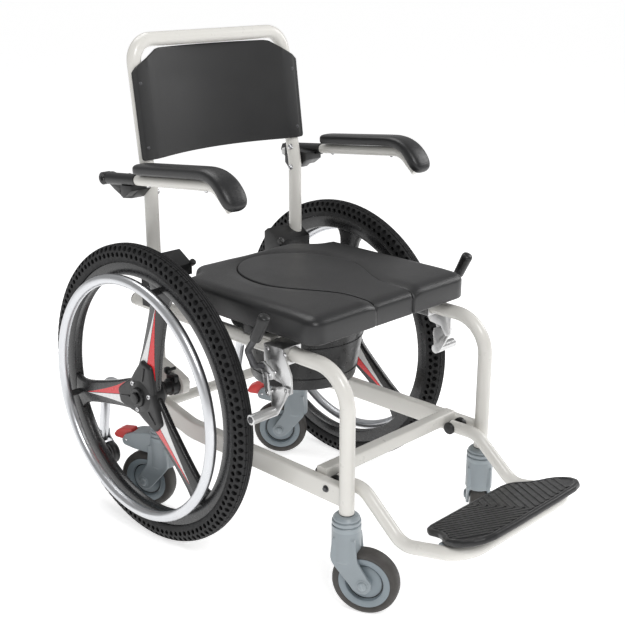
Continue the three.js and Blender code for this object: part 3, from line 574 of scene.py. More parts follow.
def cut_away(obj, shape):
    cutter = add("cutter", shape, BLACK, None)
    modifier = obj.modifiers.new("Cut", "BOOLEAN")
    modifier.operation = "DIFFERENCE"
    modifier.solver = "MANIFOLD"
    modifier.object = cutter
    apply_modifiers(obj)
    bpy.data.objects.remove(cutter)


def melted(obj, voxel, rounds):
    remesh = obj.modifiers.new("Remesh", "REMESH")
    remesh.mode = "VOXEL"
    remesh.voxel_size = voxel * MM
    relax = obj.modifiers.new("Relax", "SMOOTH")
    relax.factor = 0.5
    relax.iterations = rounds
    apply_modifiers(obj)
    smooth(obj, 60)
    return obj


# ---------------------------------------------------------------- frame


def side_frame(suffix, k):
    x = SIDE_X * k
    path = [(x, FRONT_POST_Y, CASTOR_TOP + 0.3), (x, FRONT_POST_Y, TOP_RAIL_Z), (x, 131, TOP_RAIL_Z)]
    rail = tube(path, TUBE_R, 72, 40, 24)
    add(f"side_rail_{suffix}", rail, PAINT, "frame", f"side_tube_{suffix}")
    post = tube([(x, REAR_POST_Y, CASTOR_TOP + 0.3), (x, REAR_POST_Y, TOP_RAIL_Z - TUBE_R)], TUBE_R, sides=40)
    outline = fillet([(65, WHEEL_R + 44), (0, WHEEL_R + 24), (-24, WHEEL_R + 14), (-24, WHEEL_R - 14),
                      (0, WHEEL_R - 24), (65, WHEEL_R - 44)], [2, 10, 16, 16, 10, 2])
    plate = plate_in_side_view(outline, x - 9, x + 9)
    add(f"rear_upright_{suffix}", post, PAINT, "frame", f"rear_post_{suffix}")
    bevelled(add(f"axle_plate_{suffix}", plate, PAINT, "frame"), 2.0)
    lower_rail(suffix, x)
    end = turned([(11, -2), (TUBE_R - 0.6, 0), (TUBE_R - 0.4, 1.6), (TUBE_R - 2.5, 3.4), (0, 4.2)],
                 (x, 131, TOP_RAIL_Z), (0, 1, 0), 32)
    add(f"rail_end_cap_{suffix}", end, BLACK, "frame")


def lower_rail(suffix, x):
    section = fillet([(-10, -20), (10, -20), (10, 20), (-10, 20)], 5, 5)
    path = bend([(x, FRONT_POST_Y + 8, 222), (x, -40, 218), (x, REAR_POST_Y - 8, RAIL_Z)], 120, 10)
    shape = sweep(path, lambda i: section)
    add(f"lower_bar_{suffix}", shape, PAINT, "frame", f"lower_rail_{suffix}", 60)


def weld_bead(centre, axis, radius, bead=2.0):
    """Ring of weld round the end of a bar."""
    angles = np.linspace(0, 2 * math.pi, 8, endpoint=False)
    profile = [(radius + bead * math.cos(a), bead * math.sin(a)) for a in angles]
    return turned(profile, centre, axis, 28, closed=True)


def cross_members():
    inner = SIDE_X - TUBE_R
    square = fillet([(-12.5, -12.5), (12.5, -12.5), (12.5, 12.5), (-12.5, 12.5)], 4, 5)
    bar = sweep([(-187, -398, RAIL_Z), (187, -398, RAIL_Z)], lambda i: square)
    add("front_cross_bar", bar, PAINT, "frame", "front_crossbar", 60)
    for name, node, y, z in (("rear_cross_bar", "rear_crossbar", REAR_POST_Y, RAIL_Z),
                             ("seat_bar", "seat_bar", -40, TOP_RAIL_Z)):
        add(name, tube([(-inner, y, z), (inner, y, z)], 11, sides=36), PAINT, "frame", node)
    beads = [weld_bead((k * inner, y, z), (1, 0, 0), 11) for k in (-1, 1) 
             for y, z in ((REAR_POST_Y, RAIL_Z), (-40, TOP_RAIL_Z))]
    add("weld_beads", joined(*beads), PAINT, "frame")
    carried("seat_strap", PAINT, "frame", 1.2, 3)


def anti_tip(suffix, k):
    x, y, z = SIDE_X * k, *ANTI_TIP_WHEEL
    arm = tube([(x, REAR_POST_Y + TUBE_R, RAIL_Z), (x, y - 2, RAIL_Z), (x, y + 29, z + 24)], 11, 25, 32, 12)
    add(f"anti_tip_tube_{suffix}", arm, ALUMINIUM, "frame", f"anti_tip_arm_{suffix}")
    cheek = fillet([(-12, -4), (-8, -12), (8, -12), (40, 24), (38, 50), (18, 50), (18, 32), (-6, 12)], 5)
    cheek = [(y + a, z + b) for a, b in cheek]
    cheeks = [plate_in_side_view(cheek, x + a, x + a + 3) for a in (-13.5, 10.5)]
    bevelled(add(f"anti_tip_cheeks_{suffix}", joined(*cheeks), ALUMINIUM, "frame"), 0.8)
    ends = [bolt_head((x + s * 13.5, y, z), (s, 0, 0), 4.2, 4.5) for s in (-1, 1)]
    add(f"anti_tip_bolt_{suffix}", joined(*ends, tube([(x - 14, y, z), (x + 14, y, z)], 4, sides=20)),
        STEEL, "frame")
    tread = [(4.6, -9.5), (9, -9.5), (10, -7), (18, -7), (19.5, -9.5), (22.5, -9), (25, -6), (25, -1.2),
             (24.2, 0)]
    profile = tread + [(r, -a) for r, a in reversed(tread[:-1])]
    shape = turned(profile, (x, y, z), (1, 0, 0), 48, closed=True)
    add(f"anti_tip_roll_{suffix}", shape, BLACK, f"anti_tip_roller_{suffix}",
        f"anti_tip_wheel_{suffix}")


def sockets(suffix, k):
    carried(f"backrest_socket_{suffix}", BLACK, "frame", 3.5, 4)
    lobe = turned([(3, -7), (6.5, -6), (7, -2), (7, 2), (5.4, 3.6), (0, 4)], (k * 124, 34, 540),
                  (0, -0.75, 0.66), 28)
    add(f"socket_knob_{suffix}", lobe, BLACK, "frame")
    screw = bolt_head((k * (SIDE_X + 18), 62, 500), (k, 0, 0), 4.5, 4)
    add(f"socket_screw_{suffix}", screw, DARK_STEEL, "frame")
    carried(f"pail_rail_{suffix}", BLACK, "frame", 0.8, 2)


def frame_fittings(suffix, k):
    bolt = bolt_head((k * (SIDE_X + 10), -428, 227), (k, 0, 0), 5, 5)
    add(f"rail_bolt_{suffix}", bolt, DARK_STEEL, "frame")
    inner = k * (SIDE_X - 10)
    profile = [(4, 0), (5, 1), (5, 10), (10, 12), (12, 15), (12, 22), (9, 25), (0, 26)]
    knob = turned(profile, (inner, -378, 228), (-k, 0, 0), 28)
    add(f"rail_knob_{suffix}", knob, BLACK, "frame")
    stem = tube([(k * 205, 0, AXLE_KNOB_Z), (k * 222, 0, AXLE_KNOB_Z)], 3.5, sides=20)
    ball = turned([(3, -5), (6.5, -4.4), (8, 0), (7.4, 4), (4.6, 6.4), (0, 7)], (k * 225, 0, AXLE_KNOB_Z),
                  (k, 0, 0), 28)
    add(f"axle_knob_{suffix}", joined(stem, ball), BLACK, "frame")
    outline = fillet([(-14, 288), (14, 288), (14, 330), (-14, 330)], 6)
    plate = plate_in_side_view(outline, *sorted((k * 207, k * 219)))
    return bevelled(add(f"axle_clamp_{suffix}", plate, BLACK, "frame"), 2)


# ---------------------------------------------------------------- drive wheels


def wheel_place(suffix, k):
    turn = Matrix.Rotation(math.radians(SPOKE_ANGLE[suffix]), 4, "X")
    side = Matrix.Scale(k, 4, (1, 0, 0))
    return Matrix.Translation((k * WHEEL_X, 0, WHEEL_R)) @ side @ turn


def wheel_ring(pairs, segments=160):
    """Ring about the x axis from (radius, offset) pairs that go round the section."""
    return turned([(r, u) for r, u in pairs], (0, 0, 0), (1, 0, 0), segments, closed=True)


def tyre_section():
    tread = [(304.6, 1.2), (303.4, 1.6), (303.4, 3.6), (304.6, 4.0), (304.2, 6.6), (302.6, 7.0),
             (302.6, 8.8), (303.2, 9.3),
             (301.2, 12.2), (297.5, 15.2), (292, 17.2), (286, 18), (279, 17.6), (273, 16.2), (270.5, 15)]
    return [(r, u) for r, u in reversed(tread)] + [(r, -u) for r, u in tread] + [(269.2, -14), (269.2, 14)]


def tyre_holes():
    """Two staggered rows of blind holes in each side of the solid tyre."""
    cutters = []
    for k in (-1, 1):
        for row, (radius, hole) in enumerate(((296.6, 5.0), (284.6, 4.9))):
            for i in range(TYRE_HOLES):
                a = 2 * math.pi * (i + 0.5 * row) / TYRE_HOLES
                centre = (k * 9.5, radius * math.cos(a), radius * math.sin(a))
                cutters.append(turned([(hole, 0), (hole, 12)], centre, (k, 0, 0), 12))
    return joined(*cutters)


def tread_sipes():
    """Shallow cross cuts on the tread's shoulders."""
    cutters = []
    for i in range(TYRE_HOLES):
        a = 2 * math.pi * (i + 0.25) / TYRE_HOLES
        for k in (-1, 1):
            cut = block(min(k * 4.4, k * 11), max(k * 4.4, k * 11), 301.8, 306, -0.9, 0.9)
            cutters.append(moved(cut, Matrix.Rotation(a, 4, "X")))
    return joined(*cutters)


def spoke_half_width(r):
    stations = [(30, 34), (60, 31), (90, 27.5), (140, 24.5), (190, 23), (215, 24), (232, 30), (245, 42)]
    return float(np.interp(r, *zip(*stations)))


def spoke_shape():
    """One spoke along +Y with a raised ridge down its middle and thinned edges."""
    loops = []
    for r in (28, 40, 60, 90, 120, 150, 180, 205, 222, 234, 245):
        w = spoke_half_width(r)
        face, edge, back = 11.9, 8.0, -5.8
        section = [(-w, back + 3.2), (-w + 3, back), (w - 3, back), (w, back + 3.2), (w, edge - 2),
                   (w - 3.5, edge + 0.8), (2.0, face), (-2.0, face), (-w + 3.5, edge + 0.8),
                   (-w, edge - 2)]
        loops.append([(u, r, z) for z, u in section])
    points, faces = rings(loops)
    return points, faces


def decal(side, red):
    """Thin tapered triangle on half of a spoke's face; side is +1 for the outer face, -1 for the inner."""
    hub, tip, lift = 52, 200, 0.45
    loops = []
    for r in np.linspace(hub, tip, 15):
        t = (r - hub) / (tip - hub)
        inner, outer = 0.7, max(0.9, (spoke_half_width(r) - 4.2) * (1 - t) + 0.9 * t)
        w = spoke_half_width(r)
        loop = []
        for z in (inner, outer):
            if side > 0:
                u = 11.9 - 3.2 * max(0, z - 2.0) / (w - 5.5)
            else:
                u = -5.8
            loop.append((u + side * lift, z if red else -z, u - side * 0.6))
        (a, za, a0), (b, zb, b0) = loop
        loops.append([(a, r, za), (b, r, zb), (b0, r, zb), (a0, r, za)])
    points, faces = rings(loops)
    return points, faces


def hub_cap():
    """Cover over the spoke roots: three broad square-ended lobes with hollows between."""
    outline = []
    for i in range(3):
        a = 2 * math.pi * i / 3
        lobe = [(41, -31), (73, -17), (77, -12), (77, 12), (73, 17), (41, 31), (24, 36)]
        outline += [(y * math.cos(a) - z * math.sin(a), y * math.sin(a) + z * math.cos(a)) for y, z in lobe]
    outline = fillet(outline, 7, 5)

    def face(p, d):
        return np.stack([18.5 - roundover(d, 9, 5.5), p[:, 0], p[:, 1]], axis=1)

    def back(p, d):
        return np.stack([np.full(len(p), 8.0), p[:, 0], p[:, 1]], axis=1)

    return moulded(outline, face, back, (0.6, 1.5, 2.8, 4.5, 6.5, 9), 7, 3)


def drive_wheel(suffix, k):
    body, place = f"drive_wheel_{suffix}", wheel_place(suffix, k)
    tyre = add(f"tyre_{suffix}", moved(wheel_ring(tyre_section(), 232), place), TYRE, body,
               f"drive_tyre_{suffix}")
    cut_away(tyre, moved(tyre_holes(), place))
    cut_away(tyre, moved(tread_sipes(), place))
    smooth(tyre, 34)
    band = [(243, -9), (244.5, -11.5), (249, -13), (262, -13), (268.4, -12), (268.7, 0), (268.4, 12),
            (262, 13), (249, 13), (244.5, 11.5), (243, 9), (245.5, 3), (245.5, -3)]
    rim = add(f"rim_{suffix}", moved(wheel_ring(band), place), GLOSS_BLACK, body,
              f"drive_rim_{suffix}")
    smooth(rim, 30)
    thirds = [Matrix.Rotation(2 * math.pi * i / 3, 4, "X") for i in range(3)]
    spokes = add(f"spokes_{suffix}", moved(joined(*[moved(spoke_shape(), t) for t in thirds]), place),
                 GLOSS_BLACK, body)
    bevelled(spokes, 1.0, 2, 25)
    for colour, material, red in (("red", DECAL_RED, True), ("white", DECAL_WHITE, False)):
        shapes = [moved(decal(side, red), t) for t in thirds for side in (1, -1)]
        add(f"spoke_{colour}_{suffix}", moved(joined(*shapes), place), material, body)
    add(f"hub_cover_{suffix}", moved(hub_cap(), place), BLACK, body)
    barrel = [(7, -30), (24, -30), (26, -28.5), (28, -25), (41, -13), (42, -11), (42, 13), (40, 15),
              (32, 18.6), (22, 20.4), (20, 21.4), (19.4, 26.6), (18, 28), (12, 28), (11.2, 26.8),
              (7, 26.8)]
    add(f"hub_{suffix}", moved(turned(barrel, axis=(1, 0, 0), segments=72, closed=True), place), BLACK,
        body)
    hub_details(suffix, place, thirds, body)
    handrim(suffix, place, thirds, body)


def hub_details(suffix, place, thirds, body):
    ribs, screws = [], []
    for t in thirds:
        ribs.append(moved(block(16.5, 20.4, 36, 66, -2.0, 2.0), t))
        spin = t @ Matrix.Rotation(math.radians(60), 4, "X")
        screw = [(2, 15), (5.0, 15), (5.0, 20.4), (4.4, 21.2), (2.4, 21.2), (2.4, 19.2), (0, 19.2)]
        screws.append(moved(turned(screw, (0, 31, 0), (1, 0, 0), 20), spin))
    bevelled(add(f"hub_ribs_{suffix}", moved(joined(*ribs), place), BLACK, body), 1.2, 2)
    add(f"hub_screws_{suffix}", moved(joined(*screws), place), STEEL, body)


def handrim(suffix, place, thirds, body):
    angles = np.linspace(0, 2 * math.pi, 28, endpoint=False)
    loops = [(HANDRIM_R + 10.5 * math.cos(a), 38 + 10.5 * math.sin(a)) for a in angles]
    hoop = turned([(r, u) for r, u in reversed(loops)], axis=(1, 0, 0), segments=200, closed=True)
    add(f"push_rim_{suffix}", moved(hoop, place), ALUMINIUM, body, f"handrim_{suffix}")
    pegs = [moved(tube([(9, 239, 0), (37, 239, 0)], 6.5, sides=24), t) for t in thirds]
    add(f"push_rim_pegs_{suffix}", moved(joined(*pegs), place), BLACK, body)


def axle(suffix, k):
    y, z = 0, WHEEL_R
    pin = tube([(k * 178, y, z), (k * 305, y, z)], 6.3, sides=28)
    button = turned([(6, 305.2), (10.4, 305.4), (11, 306.5), (11, 309), (9.5, 310.9), (4.5, 311.4),
                     (0, 311.4)], (0, y, z), (k, 0, 0), 36)
    nut = turned([(6, 176.8), (10, 176.9), (11.4, 178.2), (11.4, 186.4), (10, 187.5), (6, 187.6)],
                 (0, y, z), (k, 0, 0), 6)
    sleeve = turned([(6.5, 206.2), (17, 206.2), (17.5, 208), (17.5, 224), (14, 227), (14, 240), (12, 242),
                     (6.5, 242)], (0, y, z), (k, 0, 0), 40)
    add(f"axle_pin_{suffix}", joined(pin, nut), STEEL, "frame", f"axle_{suffix}")
    add(f"axle_button_{suffix}", button, BLACK, "frame")
    add(f"axle_sleeve_{suffix}", sleeve, BLACK, "frame")


# ---------------------------------------------------------------- castors


def castor_matrix(place, suffix, k):
    y = FRONT_POST_Y if place == "front" else REAR_POST_Y
    turn = Matrix.Rotation(math.radians(SWIVEL[place, suffix]), 4, "Z")
    return Matrix.Translation((k * SIDE_X, y, 0)) @ turn


def fork_shape(braked):
    """Moulded fork about its own stem, trailing towards +Y."""
    hood = turned([(0, 100), (24, 100), (27, 103), (27, 164), (26.4, 165)], segments=64)
    leg = fillet([(-20, 150), (-24.5, 104), (22, 49), (32, 45.5), (44, 45.5), (53, 56), (54, 68),
                  (47, 76), (27, 108), (23, 150)], [4, 30, 20, 10, 10, 10, 10, 10, 24, 4])
    legs = [plate_in_side_view(leg, x, x + 6.4) for x in (-23.9, 17.5)]
    parts = [hood, *legs]
    if braked:
        arm = fillet([(-10, 128), (60, 134), (86, 140), (90, 150), (82, 163), (62, 171), (30, 176),
                      (-10, 176)], [3, 8, 8, 6, 10, 14, 14, 4])
        parts.append(plate_in_side_view(arm, -20.5, 20.5))
    crown = [(17.5 * math.cos(a), 116 + 14 * math.sin(a)) for a in np.linspace(0.3, math.pi - 0.3, 10)]
    arch = [(-17.5, 0), (17.5, 0), (17.5, 116)] + crown + [(-17.5, 116)]
    tunnel = rings([[(x, -120, z) for x, z in arch], [(x, 120, z) for x, z in arch]])
    return parts, tunnel


def fork_mesh(braked):
    parts, tunnel = fork_shape(braked)
    obj = add("fork_work", parts[0], GREY, None, in_place=True)
    for part in parts[1:]:
        union_in_place(obj, part, "UNION")
    union_in_place(obj, tunnel, "DIFFERENCE")
    if braked:
        union_in_place(obj, block(-12, 12, 64, 120, 130, 200), "DIFFERENCE")
    melted(obj, 1.15, 7)
    mesh = obj.data
    bpy.data.objects.remove(obj)
    return mesh


def union_in_place(obj, shape, operation):
    other = add("other", shape, BLACK, None, in_place=True)
    modifier = obj.modifiers.new("Join", "BOOLEAN")
    modifier.operation = operation
    modifier.solver = "MANIFOLD"
    modifier.object = other
    apply_modifiers(obj)
    bpy.data.objects.remove(other)


def castor(place, suffix, k, mesh):
    body, m = f"{place}_castor_{suffix}", castor_matrix(place, suffix, k)
    fork = bpy.data.objects.new(f"{body}_fork", mesh)
    bpy.context.scene.collection.objects.link(fork)
    stem = Matrix.Translation((0, AXLE_Y, 0)) @ Matrix.Translation(m.translation * MM)
    fork.matrix_world = stem @ m.to_3x3().to_4x4()
    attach(fork, body)
    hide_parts(f"{place}_castor_fork_{suffix}")
    collar = [(10, 160), (26.4, 160), (27, 161.5), (27, 169.5), (26, 170.6), (24.6, 171), (24.6, 172.4),
              (26, 172.8), (26.6, 174), (26.6, 178.5), (25.6, 179.6), (23.8, 180), (23.8, 181.2),
              (24.6, 181.8), (24.4, 184.5), (20.5, 188.4), (16, 189.6), (14.3, 189.6), (14.3, 186),
              (10, 186)]
    add(f"{body}_collar", moved(turned(collar, segments=64, closed=True), m), GREY, body,
        sharp=30)
    bolts = []
    for s in (-1, 1):
        centre = (s * 23.6, CASTOR_TRAIL, CASTOR_R)
        bolts.append(turned([(6, -2), (11.5, 0), (12, 0.9), (11.5, 1.5), (9, 1.6), (8.6, 3.2), (7.2, 4.6),
                             (3, 5.2), (0, 5.2)], centre, (s, 0, 0), 32))
    bolts.append(tube([(-23, CASTOR_TRAIL, CASTOR_R), (23, CASTOR_TRAIL, CASTOR_R)], 5.8, sides=24))
    add(f"{body}_bolt", moved(joined(*bolts), m), GREY, body)
    castor_wheel(place, suffix, m)
    if place == "rear":
        pedal(suffix, m)


def castor_wheel(place, suffix, m):
    body = f"{place}_castor_{suffix}_roller"
    centre = (0, CASTOR_TRAIL, CASTOR_R)
    half = [(48.2, 13.8), (50, 15.2), (54, 15.8), (58, 14.6), (60.8, 11.6), (62.1, 7.5), (62.5, 3)]
    tyre = [(r, u) for r, u in half] + [(r, -u) for r, u in reversed(half)]
    add(f"{body}_tyre", moved(turned(tyre, centre, (1, 0, 0), 96, closed=True), m), CASTOR_TYRE, body,
        f"{place}_castor_wheel_{suffix}")
    face = [(6.6, 12.5), (12, 12.5), (13, 10.5), (31.5, 8.0), (32.4, 6.2), (34.2, 6.2), (35, 9.5),
            (36, 13.0), (38, 14.0), (46, 15.0), (48.2, 14.2), (48.6, 12)]
    core = [(r, u) for r, u in face] + [(r, -u) for r, u in reversed(face)]
    add(f"{body}_core", moved(turned(core, centre, (1, 0, 0), 96, closed=True), m), CORE_GREY, body,
        sharp=28)
    dark = []
    for s in (-1, 1):
        dark.append(turned([(32.3, s * 6.0), (32.3, s * 6.5), (34.3, s * 6.5), (34.3, s * 6.0)], centre,
                           (1, 0, 0), 96, closed=True))
    add(f"{body}_groove", moved(joined(*dark), m), BLACK, body)


def pedal(suffix, m):
    body = f"rear_castor_{suffix}_brake"
    outline = fillet([(66, 160), (72, 150), (82, 146.4), (110, 149), (115.5, 155), (108, 165),
                      (96, 171.5), (70, 173.5)], [2, 4, 5, 5, 4, 12, 12, 3])
    shape = plate_in_side_view(outline, -11.3, 11.3)
    obj = add(f"{body}_pedal", moved(shape, m), RED, body, f"rear_castor_pedal_{suffix}")
    bevelled(obj, 3.2, 4)
    pin = [turned([(0.5, -0.5), (3, -0.4), (3, 1), (2, 1.4), (0, 1.4)], (s * 20.5, 78, 152), (s, 0, 0),
                  20) for s in (-1, 1)]
    add(f"rear_castor_{suffix}_pin", moved(joined(*pin), m), STEEL, f"rear_castor_{suffix}")


# ---------------------------------------------------------------- seat and pail

SEAT_TOP = 542
SEAT_BOTTOM = 489
SEAT_SIDE = 214


def egg_outline(offset, front):
    """Seat opening with its channel to the front edge, grown by offset."""
    half = []
    for i in range(25):
        a = math.pi / 2 * (1 - i / 24)
        half.append(((120 + offset) * math.cos(a), -165 + (150 + offset) * math.sin(a)))
    for i in range(1, 21):
        t = i / 20
        x = 52 + 68 * (0.5 + 0.5 * math.cos(math.pi * t)) + offset
        half.append((x, -165 - 180 * t))
    half.append((52 + offset, front))
    return half


def seat_outline():
    """Half of the pad's outside, from the middle of the rear edge to the channel, rounded."""
    corners = [(-130, 15), (130, 15), (170, -30), (SEAT_SIDE, -40), (SEAT_SIDE, -405), (-SEAT_SIDE, -405),
               (-SEAT_SIDE, -40), (-170, -30)]
    return fillet(corners, [26, 26, 40, 16, 30, 30, 16, 40], 9)


def seat_height(p, d_edge):
    """Top of the pad: a shallow dish with broad rolled edges, lower towards the front."""
    x, y = p[:, 0], p[:, 1]
    dish = 3.0 * np.exp(-((x / 130) ** 2) - ((y + 170) / 150) ** 2)
    crown = SEAT_TOP - 0.6 - dish
    return crown - roundover(d_edge, 26, 15) - 3.2 * np.clip((-330 - y) / 75, 0, 1) ** 2


def seat_pad():
    whole = seat_outline()
    opening = egg_outline(0.7, -430)
    outer = resampled(anticlockwise(whole), 5)
    gap = [(x, y) for x, y in opening] + [(-x, y) for x, y in reversed(opening[1:])]
    keep = [p for p in outer if not (abs(p[0]) < 60 and p[1] < -400)]
    start = max(range(len(keep)), key=lambda i: np.hypot(*(np.subtract(keep[i], keep[i - 1]))))
    ordered = keep[start:] + keep[:start]
    front = ordered[0][1]
    channel = [(x, max(y, front)) for x, y in opening]
    inner = [(x, y) for x, y in reversed(channel)] + [(-x, y) for x, y in channel[1:]]
    if ordered[0][0] < 0:
        inner = [(-x, y) for x, y in inner]
    inner = list(reversed(inner))
    outline = ordered + resampled_open(inner, 4)

    def top(p, d):
        d_edge = distance_to(p, whole)
        d_seam = distance_to(p, gap)
        z = seat_height(p, d_edge)
        valley = 5.5 * np.clip(1 - d_seam / 30, 0, 1) ** 2
        lip = roundover(d_seam, 2.6, 2.2)
        return np.stack([p[:, 0], p[:, 1], z - valley - lip], axis=1)

    def bottom(p, d):
        return np.stack([p[:, 0], p[:, 1], SEAT_BOTTOM + roundover(d, 5, 4)], axis=1)

    shape = moulded(outline, top, bottom, (0.5, 1.1, 1.9, 3, 4.5, 6.5, 9, 12, 15.5, 19, 23, 28), 9, 4)
    pad = add("seat_cushion", shape, SEAT_FOAM, "seat", "seat_pad", 50)
    rest = TOP_RAIL_Z + TUBE_R + 0.4
    feet = [block(k * SIDE_X - 12, k * SIDE_X + 12, y - 15, y + 15, rest, SEAT_BOTTOM + 3)
            for k in (-1, 1) for y in (-230, -90)]
    bevelled(add("seat_feet", joined(*feet), BLACK, "seat"), 1.5)


def resampled_open(line, step):
    out = []
    for p, q in zip(line, line[1:]):
        p, q = np.asarray(p, float), np.asarray(q, float)
        length = np.linalg.norm(q - p)
        if length < 1e-6:
            continue
        pieces = max(1, math.ceil(length / step))
        out += [tuple(p + (q - p) * k / pieces) for k in range(pieces)]
    return out + [tuple(line[-1])]


def seat_plug():
    half = egg_outline(-0.7, -402.5)
    outline = fillet(half + [(-x, y) for x, y in reversed(half[1:])], 0)

    def top(p, d):
        x, y = p[:, 0], p[:, 1]
        fall = roundover(np.clip(y + 402.5, 0, None), 26, 14)
        swell = 1.6 * np.exp(-((x / 80) ** 2) - ((y + 150) / 110) ** 2)
        crown = 537.0 + swell - 2.6 * np.clip((-330 - y) / 75, 0, 1) ** 2
        return np.stack([x, y, crown - fall - roundover(d, 2.4, 2.0)], axis=1)

    def bottom(p, d):
        return np.stack([p[:, 0], p[:, 1], SEAT_BOTTOM + roundover(d, 3, 2)], axis=1)

    shape = moulded(outline, top, bottom, (0.5, 1.1, 1.9, 3, 5, 8, 12, 18, 25), 9, 4)
    plug = add("seat_plug_cushion", shape, SEAT_FOAM, "seat_plug", "seat_insert", 50)


def pail():
    outer = [(0, 320), (100, 320), (105, 322), (107, 326), (125, 430), (126.5, 436), (130, 438),
             (143, 438), (145.6, 439), (146, 440.4), (144.6, 442), (126, 442), (123.5, 440), (121, 431),
             (103.5, 328), (101, 324.5), (0, 324)]
    add("pail_shell", turned(outer, (0, PAIL_Y, 0), segments=96), PAIL_BLACK, "commode_pail",
        "pail", 30)
    bead = [turned([(r, z - 0.9), (r + 1.3, z), (r, z + 0.9), (r - 1, z)], (0, PAIL_Y, 0),
                   segments=96, closed=True)
            for r, z in ((121.8, 412), (110.2, 345))]
    add("pail_beads", joined(*bead), PAIL_BLACK, "commode_pail")


# ---------------------------------------------------------------- backrest


def back_tube():
    foot, knee, lean, corner = (SIDE_X, 65, 474), (SIDE_X, 65, 700), (SIDE_X, 77, 760), (SIDE_X, 106, 979)
    half = bend([foot, knee, lean, corner], 90, 10)[:-1]
    half = [np.asarray(p) for p in half]
    crown = bend([half[-1], corner, (-SIDE_X, 106, 979), half[-1] * np.array([-1, 1, 1])], 44, 18)[1:-1]
    path = half + crown + [p * np.array([-1, 1, 1]) for p in reversed(half)]
    add("back_hoop", sweep(path, lambda i: circle(TUBE_R, 40)), PAINT, "backrest",
        "back_tube", 60)


def post_front(z):
    return 77 + 29 * (z - 760) / 219 - TUBE_R


def panel_outline():
    right = [(217, 755), (217, 921), (208, 930), (150, 961), (138, 963)]
    return fillet(right + [(-x, z) for x, z in reversed(right)], [7, 4, 12, 16, 8, 8, 16, 12, 4, 7], 7)


def back_panel():
    outline = panel_outline()
    side = SIDE_X - 20

    def surface(p, d, face):
        x, z = p[:, 0], p[:, 1]
        t = np.clip(np.abs(x) / side, 0, 1)
        bow = 34 * (1 - t * t) * (1 - 0.12 * np.clip((z - 900) / 60, 0, 1))
        ease = 1.6 * np.exp(-(((np.abs(x) - side) / 14) ** 2))
        front = post_front(z) - 4.3 + bow + ease
        step = 0.9 / (1 + np.exp((np.abs(x) - 206.5) / 0.5))
        y = front - step if face else front + 4.2
        y = y + (roundover(d, 1.8, 1.5) if face else -roundover(d, 1.6, 1.2))
        return np.stack([x, y, z], axis=1)

    offsets = (0.5, 1.1, 1.8, 3, 5, 8, 9.6, 10.4, 11.2, 13)
    shape = moulded(outline, lambda p, d: surface(p, d, True), lambda p, d: surface(p, d, False),
                    offsets, 8, 3.5)
    panel = add("back_sheet", shape, SHEET, "backrest", "back_panel", 50)
    heads = [dome((k * 201, post_front(z) - 3.9, z), (0, -1, 0), 4.4, 2.4)
             for k in (-1, 1) for z in (900, 778)]
    add("panel_screws", joined(*heads), DARK_STEEL, "backrest")
    nuts = [dome((k * (SIDE_X - TUBE_R + 1), 65, z), (-k, 0, 0), 6.5, 7) for k in (-1, 1) for z in (735, 690)]
    add("bracket_nuts", joined(*nuts), STEEL, "backrest")


# ---------------------------------------------------------------- arms


def arm_centre(y):
    return ARM_PIVOT[1] + ARM_RISE * (ARM_PIVOT[0] - y)


def arm_path():
    return bend([(ARM_X, 138, arm_centre(138)), (ARM_X, -197, arm_centre(-197)), (ARM_X, -237, 712)], 45, 12)


def arm(suffix, k):
    body = f"armrest_{suffix}"
    flip = Matrix.Scale(k, 4, (1, 0, 0))
    tube_shape = sweep(arm_path(), lambda i: circle(10, 36))
    add(f"arm_bar_{suffix}", moved(tube_shape, flip), PAINT, body, f"arm_tube_{suffix}")
    eye = turned([(4.6, -10), (11, -10), (12.4, -8.6), (12.4, 8.6), (11, 10), (4.6, 10)],
                 (ARM_X, *ARM_PIVOT), (1, 0, 0), 36, closed=True)
    sleeve_run = [(ARM_X, y, arm_centre(y)) for y in (128, 34)]
    sleeve = tube(sleeve_run, 11.8, sides=36)
    add(f"arm_hinge_{suffix}", moved(joined(eye, sleeve), flip), BLACK, body)
    shape = moved(arm_pad_shape(), flip)
    pad = add(f"arm_cushion_{suffix}", shape, ARM_FOAM, body, f"arm_pad_{suffix}", 60)
    heads = [dome((ARM_X, y, arm_centre(y) - 9.6), (0, 0, -1), 4.2, 3.2) for y in (0, -170)]
    add(f"arm_bolts_{suffix}", moved(joined(*heads), flip), STEEL, body)


